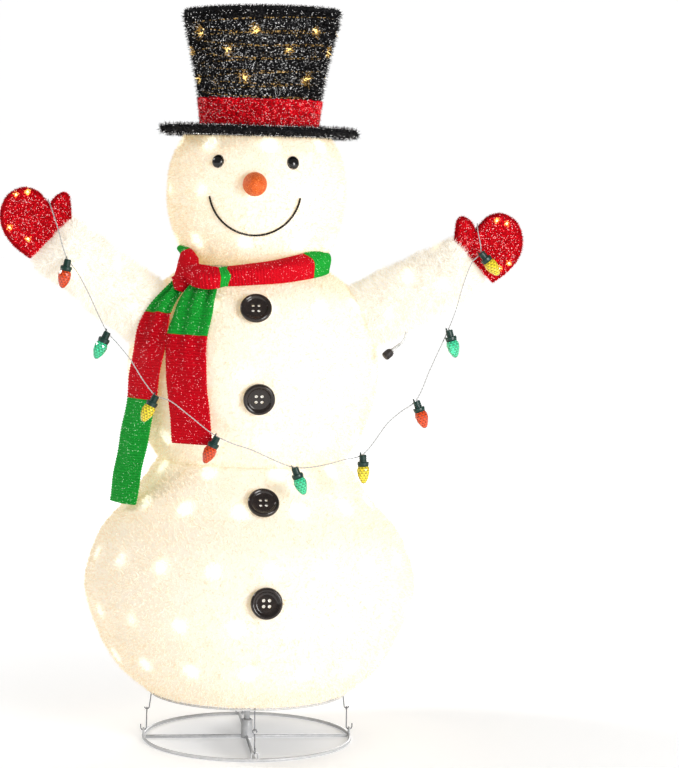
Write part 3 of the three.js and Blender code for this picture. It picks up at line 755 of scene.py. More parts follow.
# ---- balls and head --------------------------------------------------------------------
def wobble(angle, z, amount, seed):
    """Soft unevenness of stretched cloth."""
    rng = np.random.default_rng(seed)
    total = 0
    for turns in (2, 3, 5, 8, 13):
        phase, climb = rng.uniform(0, 2 * math.pi), rng.uniform(-25, 25)
        total = total + np.sin(turns * angle + climb * z + phase) / math.sqrt(turns)
    return amount * total / 2


def lamp_places(profile, rings, inset):
    """Points of the lamps, ring by ring, just inside a skin."""
    places = []
    for z, first, count in rings:
        angles = first + np.arange(count) * 360 / count
        places.append(around(angles, profile_radius(profile, z) - inset, z))
    return places


def glow_at(points, lamps, near=0.006, wide=0.018):
    """How brightly lamps show through cloth at each point, from 0 to about 1, as the strength of the painted
    glow.
    """
    gap = np.linalg.norm(points[:, None, :] - lamps[None, :, :], axis=2)
    gap = np.maximum(gap - LIGHTS_INSET * 0.9, 0)
    spot = np.exp(-((gap / near) ** 2)).max(axis=1)
    halo = np.exp(-(gap / wide)).sum(axis=1)
    return np.clip(0.80 * spot + 0.16 * halo, 0, 1)


def plush(name, outside, inside, lamps, count, length, cloths, finishes, body, squash, rng):
    """Plush tube between two grids of points, with its short pile, as two pieces."""
    rows, segments = outside.shape[:2]
    both = np.concatenate([outside, inside[::-1]]).reshape(-1, 3)
    lining = np.repeat(np.arange(2 * rows) >= rows, segments).astype(int)
    cloth = Shape().add(both, [grid_faces(2 * rows, segments, True, True)], lining)
    piece = cloth.build(name + "_skin", cloths)
    glow = glow_at(both, lamps)
    piece.data.attributes.new("glow", "FLOAT", "POINT").data.foreach_set("value", glow.astype(np.float32))
    place(piece, body, "plush", name, squash=squash)

    surface = Shape().add(outside.reshape(-1, 3), [grid_faces(rows, segments, False, True)])
    roots, normals = scatter(surface, count, rng)
    local = glow_at(roots, lamps)
    slots = np.where(rng.random(count) < 0.6, 0, 1)
    # Fibres near a lamp take the finishes with a stronger painted glow.
    slots = np.where(local + rng.normal(0, 0.06, count) > 0.30, 2, slots)
    slots = np.where(local + rng.normal(0, 0.05, count) > 0.62, 3, slots)
    pile = fibres(name + "_pile", roots, normals, length, PILE_WIDTH, 0.6, finishes, slots, rng)
    place(pile, body, "plush", squash=squash)


def skin(name, outline, rows, body, squash, lamps, pile_count, seed):
    """Plush skin of one ball."""
    rng = np.random.default_rng(seed)
    profile = smooth_curve(metres(outline), rows)
    segments = 150
    angle = np.arange(segments) * 2 * math.pi / segments
    lift = wobble(angle[None, :], profile[:, 1:2], 0.0022, seed)
    ends = np.clip(np.minimum(np.arange(rows + 1), rows - np.arange(rows + 1)) / 8, 0, 1)[:, None]
    radius = profile[:, 0:1] + lift * ends
    ring = np.stack([np.cos(angle), np.sin(angle)], axis=1)

    def sheet(offset):
        level = np.broadcast_to(profile[:, 1:2], radius.shape)
        return np.concatenate([(radius - offset)[:, :, None] * ring, level[:, :, None]], axis=2)

    plush(name, sheet(0.0), sheet(SKIN), lamps, pile_count, BALL_PILE_LENGTH, [BALL_PLUSH, LINING],
          BALL_PILE, body, squash, rng)


def coil_points(profile, low, high, turns, inset):
    """Spring wire inside a skin, from one height up to another."""
    steps = turns * COIL_STEPS
    z = np.linspace(low, high, steps + 1)
    angle = np.arange(steps + 1) * 2 * math.pi / COIL_STEPS
    radius = profile_radius(profile, z) - inset
    return np.stack([radius * np.cos(angle), radius * np.sin(angle), z], axis=1)


def light_string(name, rings, body, squash, transform=None):
    """Clear wire that runs from ring to ring, with a small warm lamp at each place."""
    stops = np.vstack(rings)
    route = []
    for start, end in zip(stops[:-1], stops[1:]):
        turn = math.atan2(start[0] * end[1] - start[1] * end[0], start[:2] @ end[:2])
        angle = math.atan2(start[1], start[0]) + turn * np.linspace(0, 1, 6, endpoint=False)
        share = np.linspace(0, 1, 6, endpoint=False)
        radius = np.hypot(*start[:2]) * (1 - share) + np.hypot(*end[:2]) * share
        level = start[2] * (1 - share) + end[2] * share
        route.append(np.stack([radius * np.cos(angle), radius * np.sin(angle), level], axis=1))
    route.append(stops[-1:])
    shape = rod(np.vstack(route), LIGHT_WIRE_RADIUS, 6)
    for x, y, z in stops:
        out = Vector((x, y, 0)).normalized()
        turn = np.array(out.to_track_quat("Z", "Y").to_matrix())
        spot = np.array((x, y, z))
        for number, outline in enumerate((LAMP_FOOT, LAMP_TIP), 1):
            part, faces = revolve(outline, 8)
            shape.add(part @ turn.T + spot, faces, number)
    piece = shape.build(name, [CLEAR_WIRE, LAMP_SOCKET, LAMP], transform=transform)
    place(piece, body, "light_wire", name, squash=squash)


def spring(name, points, body, squash=None, transform=None, finish=SPRING_WIRE):
    piece = rod(points, SPRING_RADIUS, 8).build(name + "_wire", [finish], transform=transform)
    place(piece, body, "spring_wire", name, squash=squash)


def balls():
    # Skin, outline, curve, rows, body, squash, lamps, fibres, seed, and the ends and turns of the coil.
    sections = [
        ("lower_body", LOWER_PROFILE, LOWER, 90, "root", "lower", LOWER_LAMPS, 64000, 11,
         (0.116, 0.578, 4)),
        ("upper_body", UPPER_PROFILE, UPPER, 76, "waist", "upper", UPPER_LAMPS, 54000, 12,
         (0.604, 0.976, 4)),
        ("head", HEAD_PROFILE, HEAD, 56, "neck", "head", HEAD_LAMPS, 34000, 13, (1.002, 1.244, 3)),
    ]
    for name, outline, profile, rows, body, squash, rings, count, seed, coil in sections:
        lamps = lamp_places(profile, rings, LIGHTS_INSET)
        skin(name, outline, rows, body, squash, np.vstack(lamps), count, seed)
        spring("spring_" + squash, coil_points(profile, *coil, SPRING_INSET), body, squash)
        light_string("lights_" + squash, lamps, body, squash)


# ---- hat -------------------------------------------------------------------------------
def tinsel(name, surface, count, length, finishes, shares, body, slot, rng, transform, squash=None,
           lamps=None):
    """Cut metallic strips that stand on a surface, with a share of them in each of the first finishes.

    The last of those is the pale one, whose glow is a painted glint: its strips are short, and sit in the
    tips of the others. Where there are lamps, the last two finishes are painted lamp light, for strips near
    a lamp and right over one.
    """
    roots, normals = scatter(surface, count, rng)
    slots = rng.choice(len(shares), count, p=shares)
    if lamps is not None:
        gap = gap_to(roots, lamps) - LAMP_BEHIND_NET
        slots = np.where(gap + rng.exponential(0.007, count) < 0.006, len(finishes) - 2, slots)
        slots = np.where(gap + rng.exponential(0.0012, count) < 0.0013, len(finishes) - 1, slots)
    pale = (slots == len(shares) - 1)[:, None]
    roots = roots + normals * np.where(pale, length * 0.45, 0)
    reach = np.where(pale, PALE_TINSEL[0], length)
    width = np.where(pale, PALE_TINSEL[1], TINSEL_WIDTH)
    strips = fibres(name, roots, normals, reach, width, 0.8, finishes, slots, rng, 0.3, transform)
    place(strips, body, slot, squash=squash)


def turned_surface(profile, segments=120):
    """One-sided surface of revolution, facing outwards."""
    points = circles(profile, segments).reshape(-1, 3)
    return Shape().add(points, [grid_faces(len(profile), segments, False, True)])


def hat():
    rng = np.random.default_rng(31)
    pivot = Matrix.Translation((0, 0, BRIM_Z))
    lean = pivot @ Matrix.Rotation(HAT_TILT, 4, "Y") @ pivot.inverted()
    tilt = Matrix.Translation((HAT_SHIFT, 0, 0)) @ lean
    slump = tilt @ Matrix(((1, 0, 0, 0), (0, 1, 0, 0), (CROWN_SLOPE, 0, 1, 0), (0, 0, 0, 1)))

    def crown_radius(z):
        share = np.clip((z - CROWN_FOOT) / CROWN_HEIGHT, 0, 1)
        return CROWN_BASE + (CROWN_TOP - CROWN_BASE) * share ** 1.35

    rim = CROWN_FOOT + CROWN_HEIGHT
    heights = np.linspace(CROWN_FOOT, rim, 40)
    outside = np.stack([crown_radius(heights), heights], axis=1)
    inside = outside[::-1] - np.array([NET_THICKNESS, 0])
    crown = turned(np.vstack([outside, inside]), 120, closed=True)
    net = crown.build("hat_crown_net", [NET], transform=slump)
    place(net, "hat", "black_tinsel", "hat_crown", squash="hat")
    lamps = lamp_places(outside, HAT_LAMPS, LAMP_BEHIND_NET)
    black = (BLACK_TINSEL, [0.68, 0.19, 0.13])
    tinsel("hat_crown_tinsel", turned_surface(outside), *CROWN_TINSEL, *black, "hat", "black_tinsel", rng,
           slump, "hat", np.vstack(lamps))

    edge = CROWN_TOP + 0.002
    lid_profile = [
        (0, rim), (edge - 0.003, rim), (edge, rim + 0.003), (edge - 0.003, rim + 0.006),
        (0.06, rim + 0.011), (0, rim + 0.012),
    ]
    lid = turned(lid_profile, 96)
    place(lid.build("hat_lid_cloth", [BLACK_FELT], transform=slump), "hat_top", "black_tinsel", "hat_lid")
    tinsel("hat_lid_tinsel", turned_surface(lid_profile[1:]), *LID_TINSEL, *black, "hat_top",
           "black_tinsel", rng, slump)

    half, edge = 0.004, BRIM_RADIUS - 0.002
    brim_profile = [
        (0.009, BRIM_Z - half), (edge - half, BRIM_Z - half), (edge, BRIM_Z), (edge - half, BRIM_Z + half),
        (0.009, BRIM_Z + half),
    ]
    brim = turned(brim_profile, 120, closed=True)
    place(brim.build("hat_brim_cloth", [BLACK_FELT], transform=tilt), "hat", "black_tinsel", "hat_brim")
    tinsel("hat_brim_tinsel", brim, *BRIM_TINSEL, *black, "hat", "black_tinsel", rng, tilt)

    levels = np.linspace(CROWN_FOOT + 0.001, CROWN_FOOT + BAND_HEIGHT, 12)
    band_out = np.stack([crown_radius(levels) + 0.005, levels], axis=1)
    band_in = band_out[::-1] - np.array([0.003, 0])
    band = turned(np.vstack([band_out, band_in]), 120, closed=True)
    band_cloth = band.build("hat_band_cloth", [RED_BACKING], transform=tilt)
    place(band_cloth, "hat", "red_tinsel", "hat_band", squash="hat")
    tinsel("hat_band_tinsel", turned_surface(band_out), *BAND_TINSEL, RED_TINSEL, [0.42, 0.28, 0.20, 0.10],
           "hat", "red_tinsel", rng, tilt, "hat")

    coil = coil_points(outside, CROWN_FOOT + 0.008, rim - 0.008, 8, 0.006)
    spring("hat_spring", coil, "hat", "hat", slump, LIT_WIRE)
    light_string("lights_hat", lamps, "hat", "hat", slump)


# ---- face --------------------------------------------------------------------------------
def twisted_pair(points, strand, offset, pitch, sides=8):
    """Two strands wound round a line."""
    points = np.array(points)
    tangents = unit(np.gradient(points, axis=0))
    side = unit(np.cross(tangents, (0.3, 0.9, 0.3)))
    other = np.cross(tangents, side)
    shape = Shape()
    for start in (0, math.pi):
        angle = start + travel(points) * 2 * math.pi / pitch
        line = points + offset * (side * np.cos(angle)[:, None] + other * np.sin(angle)[:, None])
        shape.add(*sweep(line, strand, sides))
    return shape


def face():
    rng = np.random.default_rng(41)
    for name, side in (("eye_left", -1), ("eye_right", 1)):
        dome = [(0, -0.002), (EYE_RADIUS, -0.002)]
        for angle in np.linspace(0, math.pi / 2, 14)[:-1]:
            dome.append((EYE_RADIUS * math.cos(angle), EYE_DEPTH * math.sin(angle)))
        vertices, faces = revolve(dome + [(0, EYE_DEPTH)], 48)
        vertices[:, 1] *= 1.1
        outward = on_skin(HEAD, HEAD_TURN + side * EYE_SPREAD, EYE_Z, FACE_PROUD, 0.014)
        eye = Shape().add(vertices, faces).build(name + "_dome", [BLACK_GLOSS], transform=outward)
        place(eye, "eyes", "black_gloss", name)

    outline = smooth_curve(NOSE_PROFILE, 40)
    cone = turned([(0, -0.001)] + [tuple(p) for p in outline], 72)
    outward = on_skin(HEAD, HEAD_TURN, NOSE_Z, FACE_PROUD)
    place(cone.build("nose_cone", [NOSE], transform=outward), "nose_seat", "nose_orange", "nose")
    roots, normals = scatter(cone, NOSE_FLECKS, rng)
    slots = rng.choice(3, NOSE_FLECKS, p=[0.38, 0.42, 0.20])
    grit = fibres("nose_glitter", roots, normals, 0.0007, 0.0007, 0.9, NOSE_GRIT, slots, rng, 0.7, outward)
    place(grit, "nose_seat", "nose_orange")

    angles = np.radians(np.linspace(-170, -10, 161))
    across = MOUTH_RADIUS * np.cos(angles)
    levels = MOUTH_Z + MOUTH_RADIUS * np.sin(angles)
    seats = profile_radius(HEAD, levels) + MOUTH_PROUD
    line = around(HEAD_TURN + np.degrees(np.arcsin(across / seats)), seats, levels)
    cord = twisted_pair(line, *MOUTH_TWIST).build("mouth_twist", [MOUTH])
    place(cord, "neck", "mouth_cord", "mouth", squash="head")


# ---- scarf -------------------------------------------------------------------------------
def ribbon_frame(centres, outwards, widths, level):
    """Length of a ribbon, its middle line, and the directions across and out of it and its width there."""
    length = float(travel(smooth_curve(centres, 400))[-1])
    rows = max(int(length / RIB_PITCH * 6), 24)
    line = smooth_curve(centres, rows)
    share = np.linspace(0, 1, rows + 1)
    knots = np.linspace(0, 1, len(centres))
    width = np.interp(share, knots, widths)
    out = np.stack([np.interp(share, knots, column) for column in np.array(outwards, float).T], axis=1)
    tangent = unit(np.gradient(line, axis=0))
    out = unit(out - tangent * (out * tangent).sum(axis=1)[:, None])
    across = np.cross(tangent, out)
    if level:
        across = unit(across * np.array([1, 1, 0]))
    return length, line, across, out, width


def stripe_colour(stripes, share):
    """Material number, red or green, at a share of the length."""
    first, changes = stripes
    return (first + np.searchsorted(changes, share)) % 2


def striped_sheet(top, bottom, stripes):
    """Closed sheet between two grids of points, with stripes across it."""
    rows, columns = top.shape[0] - 1, top.shape[1] - 1
    across = columns + 1
    half = top.shape[0] * across
    quads = grid_faces(rows + 1, across, False, False)
    rim = np.concatenate([
        np.arange(across), (np.arange(1, rows + 1) + 1) * across - 1,
        rows * across + np.arange(columns - 1, -1, -1), np.arange(rows - 1, 0, -1) * across,
    ])
    following = np.roll(rim, -1)
    edge = np.stack([rim, rim + half, following + half, following], axis=1)
    colour = stripe_colour(stripes, (np.arange(len(quads)) // columns + 0.5) / rows)
    edge_colour = stripe_colour(stripes, (np.minimum(rim // across, rows - 1) + 0.5) / rows)
    vertices = np.concatenate([top.reshape(-1, 3), bottom.reshape(-1, 3)])
    return Shape().add(vertices, [quads, quads[:, ::-1] + half, edge], [colour, colour, edge_colour])


def glitter(name, top, line, stripes, count, rng):
    """Flecks over the outer side of a ribbon, in the colours of its stripes and paler; the pale ones glow as
    painted glints.
    """
    front = Shape().add(top.reshape(-1, 3), [grid_faces(*top.shape[:2], False, False)])
    roots, normals = scatter(front, count, rng)
    nearest = np.argmin(np.linalg.norm(roots[:, None, :] - line[None, ::4, :], axis=2), axis=1) * 4
    shade = stripe_colour(stripes, nearest / (len(line) - 1))
    pale = rng.random(count) < PALE_GLITTER_SHARE
    reach, width = np.where(pale, ((0.0013,), (0.0009,)), ((0.0010,), (0.0006,)))[:, :, None]
    return fibres(name + "_glitter", roots, normals, reach, width, 1.0, FLECKS, shade * 2 + pale, rng, 0.7)


def ribbon(name, centres, outwards, widths, bulge, gathers, stripes, node, seed, level=False):
    """Knitted strip along centres, as a sheet of cloth with raised ribs across it and glitter on it.

    bulge rounds it outwards, gathers is (folds, depth, share of the length they fade over), and stripes
    is (0 or 1 for a red or green first stripe, shares of the length where the colour changes). A level
    one keeps its width horizontal, as a hanging end does.
    """
    length, line, across, out, width = ribbon_frame(centres, outwards, widths, level)
    columns = 36
    u = np.linspace(-0.5, 0.5, columns + 1)[None, :, None]
    share = np.linspace(0, 1, len(line))[:, None, None]
    folds, depth, fade = gathers
    round_off = bulge * (1 - (2 * u) ** 2)
    gather = depth * np.exp(-share / fade) * np.cos(2 * math.pi * folds * u + 0.6)
    ribs = RIB_HEIGHT * np.sin(2 * math.pi * share * length / RIB_PITCH)
    ripple = 0.0012 * np.sin(share * length * 60 + 5 * u + seed)
    lift = round_off + gather + ribs + ripple
    top = line[:, None, :] + across[:, None, :] * (u * width[:, None, None]) + out[:, None, :] * lift
    bottom = top - out[:, None, :] * SCARF_THICKNESS
    piece = striped_sheet(top, bottom, stripes).build(name, [RED_KNIT, GREEN_KNIT])

    mean_width = float(np.mean(widths))
    count = int(length * mean_width * GLITTER_PER_SQUARE_METRE)
    flecks = glitter(name, top, line, stripes, count, np.random.default_rng(seed))
    place(piece, "neck", "scarf_red", *([node] if node else []), squash="scarf")
    place(flecks, "neck", "scarf_red", squash="scarf")


def radial(points):
    """Outward direction at each point, away from the axis."""
    return unit(np.array(points, float) * np.array([1, 1, 0]))


def scarf():
    # Neck band, from the knot round by the right and the back to the knot again.
    stations = [
        (-24, 0.203, 0.975), (-8, 0.196, 0.980), (10, 0.188, 0.987), (28, 0.177, 0.995), (44, 0.163, 1.001),
        (62, 0.150, 1.004), (82, 0.142, 1.006), (130, 0.141, 1.008), (180, 0.143, 1.011),
        (230, 0.146, 1.015), (270, 0.148, 1.018),
    ]
    centres = [tuple(around(a, r, z)) for a, r, z in stations]
    lean = np.array([0, 0, 0.30])
    outwards = [tuple(v + lean) for v in radial(centres)]
    widths = [0.040, 0.046, 0.052, 0.057, 0.058, 0.058, 0.056, 0.056, 0.056, 0.052, 0.038]
    stripes = (1, [0.018, 0.250, 0.42, 0.61, 0.80])
    ribbon("scarf_band", centres, outwards, widths, 0.009, (1.0, 0.004, 3.0), stripes, "scarf_loop",
           1)

    strap = [
        (-0.148, -0.006, 1.020), (-0.146, -0.040, 1.014), (-0.149, -0.085, 0.998), (-0.151, -0.126, 0.972),
        (-0.157, -0.134, 0.954), (-0.161, -0.134, 0.941),
    ]
    strap_out = radial(strap) + np.array([0.25, -0.5, 0])
    widths = [0.032, 0.036, 0.046, 0.064, 0.060, 0.028]
    ribbon("scarf_strap", strap, strap_out, widths, 0.010, (1.0, 0.003, 2.0),
           (1, [0.33]), None, 2)
    wrap = [
        (-0.146, -0.154, 0.977), (-0.130, -0.182, 0.975), (-0.106, -0.201, 0.972), (-0.084, -0.203, 0.973),
        (-0.070, -0.196, 0.974),
    ]
    ribbon("scarf_wrap", wrap, radial(wrap), [0.034, 0.046, 0.048, 0.044, 0.034], 0.012, (1.5, 0.003, 2.0),
           (0, [0.82]), "scarf_knot", 3)

    def hanging(top, end, course, lift, flare):
        centres = []
        for t in np.linspace(0, 1, 11):
            z = top + (end - top) * t
            radius = profile_radius(UPPER, max(z, 0.790)) + lift + flare * t
            centres.append(tuple(around(np.interp(z, *np.array(course).T), radius, z)))
        return centres

    # Height and angle from the front along each hanging end.
    course = [(0.643, -31), (0.750, -34), (0.845, -36), (0.900, -35), (0.956, -36)]
    right = hanging(0.956, 0.643, course, 0.010, 0.0)
    widths = [0.068, 0.080, 0.090] + [0.095] * 4 + [0.091] * 4
    ribbon("scarf_tail_right_cloth", right, radial(right), widths, 0.004, (2.5, 0.0055, 0.30), (1, [0.355]),
           "scarf_tail_right", 4, level=True)
    course = [(0.504, -76), (0.615, -67), (0.710, -60), (0.822, -56), (0.896, -56), (0.956, -54)]
    left = hanging(0.955, 0.504, course, 0.014, 0.008)
    faces_out = [tuple(around(azimuth, 1.0, 0.0)) for azimuth in np.linspace(-48, -54, 11)]
    ribbon("scarf_tail_left_cloth", left, faces_out, [0.042, 0.064, 0.084, 0.090, 0.090] + [0.087] * 6,
           0.005, (2.0, 0.0055, 0.25), (1, [0.155, 0.52]), "scarf_tail_left", 5,
           level=True)


# ---- buttons -----------------------------------------------------------------------------
def buttons():
    outline = smooth_curve(BUTTON_PROFILE, 60)
    for number, (z, azimuth) in enumerate(BUTTONS, 1):
        profile = UPPER if z > WAIST_HOOP[1] else LOWER
        disc = turned([(0, 0)] + [tuple(p) for p in outline], 72)
        holes = Shape()
        for x, y in ((1, 1), (1, -1), (-1, 1), (-1, -1)):
            peg, faces = revolve([(0, -0.004), (BUTTON_HOLE, -0.004), (BUTTON_HOLE, 0.02), (0, 0.02)], 24)
            holes.add(peg + np.array([x, y, 0]) * BUTTON_HOLE_OFFSET, faces)
        piece = disc.build(f"button_{number}_disc", [BUTTON])
        cutter = holes.build("cutter", [BUTTON])
        boolean = piece.modifiers.new("holes", "BOOLEAN")
        boolean.operation = "DIFFERENCE"
        boolean.object = cutter
        boolean.solver = "EXACT"
        cut = evaluated(piece)
        piece.modifiers.clear()
        piece.data = cut
        bpy.data.objects.remove(cutter)
        outward = on_skin(profile, azimuth, z, BUTTON_PROUD, BUTTON_RADIUS)
        piece.data.transform(outward)
        place(piece, f"button_{number}_seat", "button_gloss", f"button_{number}")
        tuft = turned(TUFT_PROFILE, 24)
        tuft = tuft.build(f"button_{number}_tuft", [HOLE_PLUSH], transform=outward)
        place(tuft, f"button_{number}_seat", "plush")


# ---- arms --------------------------------------------------------------------------------
def sleeve(name, shoulder, cuff, seed):
    """Plush tube from the upper ball to the mitten, with a few soft creases."""
    rng = np.random.default_rng(seed)
    start, end = np.array(shoulder), np.array(cuff)
    axis = (end - start) / np.linalg.norm(end - start)
    length = float(np.linalg.norm(end - start)) - 0.016
    side = np.cross(axis, (0, 0, 1))
    side /= np.linalg.norm(side)
    upward = np.cross(axis, side)
    segments, rows = 96, 60
    angle = np.arange(segments) * 2 * math.pi / segments
    ring = side * np.cos(angle)[:, None] + upward * np.sin(angle)[:, None]

    # Each line along the sleeve starts where it meets the ball.
    low, high = np.full(segments, -0.09), np.full(segments, 0.12)
    for _ in range(30):
        middle = (low + high) / 2
        point = start + ring * SLEEVE_RADIUS + axis * middle[:, None]
        inside = np.hypot(point[:, 0], point[:, 1]) < profile_radius(UPPER, point[:, 2])
        low, high = np.where(inside, middle, low), np.where(inside, high, middle)
    share = np.linspace(0, 1, rows + 1)[:, None]
    along = high[None, :] + (length - high[None, :]) * share
    crease = 0.0035 * np.exp(-((share - 0.80) / 0.05) ** 2) + 0.0030 * np.exp(-((share - 0.55) / 0.07) ** 2)
    taper = 0.002 * np.sin(math.pi * share) - 0.004 * share
    fold = wobble(angle[None, :], along * 3, 0.0050, seed)
    radius = SLEEVE_RADIUS + taper + fold - crease * (0.6 + 0.4 * np.cos(angle[None, :] + 2))

    # The cuff is gathered in round the foot of the mitten.
    turn_in = np.linspace(0, 1.45, 9)[1:, None]
    radius = np.vstack([radius, radius[-1] * np.cos(turn_in)])
    along = np.vstack([along, along[-1] + 0.011 * np.sin(turn_in)])
    inward = np.concatenate([np.zeros(rows + 1), np.sin(turn_in[:, 0])])[:, None, None]

    def sheet(offset):
        level = along[:, :, None] - offset * inward
        return start + ring[None, :, :] * (radius - offset)[:, :, None] + axis * level

    # No lamps are built in the sleeve: these places only set where its painted glow is strongest.
    lamps = []
    for reach, turns in ((0.05, (0.4, 2.6, 4.6)), (0.12, (1.5, 3.7, 5.8)), (0.19, (0.4, 2.6, 4.6))):
        for turn in turns:
            outward = side * math.cos(turn) + upward * math.sin(turn)
            lamps.append(start + axis * reach + outward * SLEEVE_LIGHTS_RADIUS)
    plush(name, sheet(0.0), sheet(SKIN), np.array(lamps), 26000, SLEEVE_PILE_LENGTH, [SLEEVE_PLUSH, LINING],
          SLEEVE_PILE, "shoulders", None, rng)

    steps = 3 * COIL_STEPS + 1
    coil_angle = (np.arange(steps) * 2 * math.pi / COIL_STEPS)[:, None]
    reach = np.linspace(0.060, length - 0.014, steps)[:, None]
    outward = side * np.cos(coil_angle) + upward * np.sin(coil_angle)
    coil = start + axis * reach + SLEEVE_COIL_RADIUS * outward
    spring("arm_spring_" + name.split("_")[1], coil, "shoulders")


def padded(edge):
    """Flat pad with rounded edges inside an outline."""
    curve = bpy.data.curves.new("outline", "CURVE")
    curve.dimensions = "2D"
    curve.fill_mode = "BOTH"
    curve.extrude = MITTEN_THICKNESS / 2 - MITTEN_BEVEL
    curve.bevel_depth = MITTEN_BEVEL
    curve.bevel_resolution = 3
    curve.offset = -MITTEN_BEVEL
    spline = curve.splines.new("POLY")
    spline.points.add(len(edge) - 1)
    spline.points.foreach_set("co", np.column_stack([edge, np.zeros(len(edge)), np.ones(len(edge))]).ravel())
    spline.use_cyclic_u = True
    temporary = bpy.data.objects.new("outline", curve)
    bpy.context.scene.collection.objects.link(temporary)
    mesh = evaluated(temporary)
    bpy.data.objects.remove(temporary)
    vertices = np.zeros(len(mesh.vertices) * 3)
    mesh.vertices.foreach_get("co", vertices)
    mesh.calc_loop_triangles()
    triangles = np.zeros(len(mesh.loop_triangles) * 3, np.int32)
    mesh.loop_triangles.foreach_get("vertices", triangles)
    return Shape().add(vertices.reshape(-1, 3), [triangles.reshape(-1, 3)])


def mitten(name, side, cuff, lamps, seed):
    """Flat tinsel mitten over an outline of wire."""
    rng = np.random.default_rng(seed)
    palm_edge = smooth_curve(metres(MITTEN_OUTLINE[:9]), 60)
    thumb_edge = smooth_curve(metres(MITTEN_OUTLINE[8:]), 40)[1:]
    edge = np.vstack([palm_edge, thumb_edge])
    pad = padded(edge)

    along = Vector((side * math.cos(MITTEN_LIFT), 0, math.sin(MITTEN_LIFT)))
    thumb = Vector((-side * math.sin(MITTEN_LIFT), 0, math.cos(MITTEN_LIFT)))
    turn = Matrix((along, thumb, along.cross(thumb))).transposed()
    where = Matrix.Translation(Vector(cuff)) @ turn.to_4x4()
    backing = pad.build(name + "_pad", [RED_BACKING], smooth=False, transform=where)
    place(backing, "shoulders", "red_tinsel", name)

    roots, normals = scatter(pad, MITTEN_STRIPS, rng)
    slots = rng.choice(4, MITTEN_STRIPS, p=[0.44, 0.30, 0.17, 0.09])
    rim = gap_to(roots[:, :2], edge)
    slots = np.where((rim < 0.005) & (rng.random(MITTEN_STRIPS) < 0.75), 1, slots)
    # Strips near a mitten lamp take the lit finish, painted lamp light.
    gap = gap_to(roots[:, :2], np.array(lamps))
    slots = np.where(gap + rng.exponential(0.0022, MITTEN_STRIPS) < 0.0068, 4, slots)
    pale = (slots == 3)[:, None]
    roots = roots + normals * np.where(pale, 0.0025, 0)
    reach = np.where(pale, 0.0018, 0.0058)
    width = np.where(pale, 0.0010, 0.0009)
    strips = fibres(name + "_tinsel", roots, normals, reach, width, 0.8, RED_TINSEL, slots, rng, 0.3, where)
    place(strips, "shoulders", "red_tinsel")

    wire = np.column_stack([edge, np.zeros(len(edge))])
    loop = rod(wire, 0.0016, 8, closed=True)
    place(loop.build(name + "_wire", [RED_TINSEL[1]], transform=where), "shoulders", "red_tinsel")
    bulbs = Shape()
    for u, v in lamps:
        for face_side in (1, -1):
            dot, faces = revolve([(0, -0.001), (0.0022, -0.001), (0.0020, 0.0015), (0, 0.0026)], 12)
            spot = np.array([u, v, face_side * MITTEN_THICKNESS / 2])
            bulbs.add(dot * np.array([1, 1, face_side]) + spot, faces)
    place(bulbs.build(name + "_lamps", [LAMP], transform=where), "shoulders", "light_wire")


def arms():
    for number, (name, (side, shoulder, cuff)) in enumerate(ARMS.items()):
        sleeve("sleeve_" + name, shoulder, cuff, 51 + number)
        mitten("mitten_" + name, side, cuff, MITTEN_LAMPS[name], 61 + number)


# ---- garland and light lead ----------------------------------------------------------------
def cut_lens():
    """Diamond-cut lens of a bulb, from its collar down to its tip, with every other facet in painted shade.
    """
    vertices = []
    for row, (radius, z) in enumerate(LENS_RINGS):
        angle = (np.arange(LENS_SIDES) + row / 2) * 2 * math.pi / LENS_SIDES
        circle = [radius * np.cos(angle), radius * np.sin(angle), np.full(LENS_SIDES, z)]
        vertices.append(np.stack(circle, axis=1))
    vertices = np.vstack(vertices + [[(0, 0, LENS_RINGS[0][1])], [(0, 0, LENS_TIP)]])
    last = (len(LENS_RINGS) - 1) * LENS_SIDES
    sides = [(j, (j + 1) % LENS_SIDES) for j in range(LENS_SIDES)]
    faces = []
    for upper in range(0, last, LENS_SIDES):
        lower = upper + LENS_SIDES
        for j, k in sides:
            faces += [(upper + j, lower + j, upper + k), (upper + k, lower + j, lower + k)]
    for j, k in sides:
        faces += [(len(vertices) - 2, j, k), (last + k, last + j, len(vertices) - 1)]
    return vertices, [np.array(faces)], 1 + np.arange(len(faces)) % 2


def bulb_shape():
    """Cap, collar, lens and cord clip of one bulb, hanging down from the cord."""
    shape = turned(BULB_NECK[::-1], 28)
    shape.add(*revolve(BULB_COLLAR[::-1], 36))
    for band in circles([(0.0072, z) for z in (-0.003, -0.0065, -0.010)], 28):
        shape.add(*sweep(band, 0.0006, 6, closed=True))
    clip = []
    for angle in np.linspace(-0.3, math.pi + 0.3, 14):
        clip.append((-0.004, 0.004 + 0.0065 * math.cos(angle), 0.001 + 0.0045 * math.sin(angle)))
    shape.add(*sweep(clip, 0.0009, 6))
    shape.add(*cut_lens())
    return shape


def garland():
    line = smooth_curve(GARLAND_ROUTE, 1500)
    twist = twisted_pair(line, GARLAND_DIAMETER * 0.27, GARLAND_DIAMETER * 0.23, 0.014, 6)
    cord = twist.build("garland_twist", [CORD])
    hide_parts("garland_cord")
    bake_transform(cord)
    for number, (body, spot, lean) in enumerate(BULBS, 1):
        hung = Matrix.Translation(Vector(spot) - Vector((0, BULB_FORWARD, 0)))
        where = hung @ Matrix.Rotation(-math.radians(lean), 4, "Y")
        kind = (number - 1) % 3
        bulb = bulb_shape().build(f"bulb_{number}", [SOCKET, *LENSES[kind]], smooth=False, transform=where)
        place(bulb, body, ("bulb_red", "bulb_green", "bulb_yellow")[kind], f"garland_bulb_{number}")


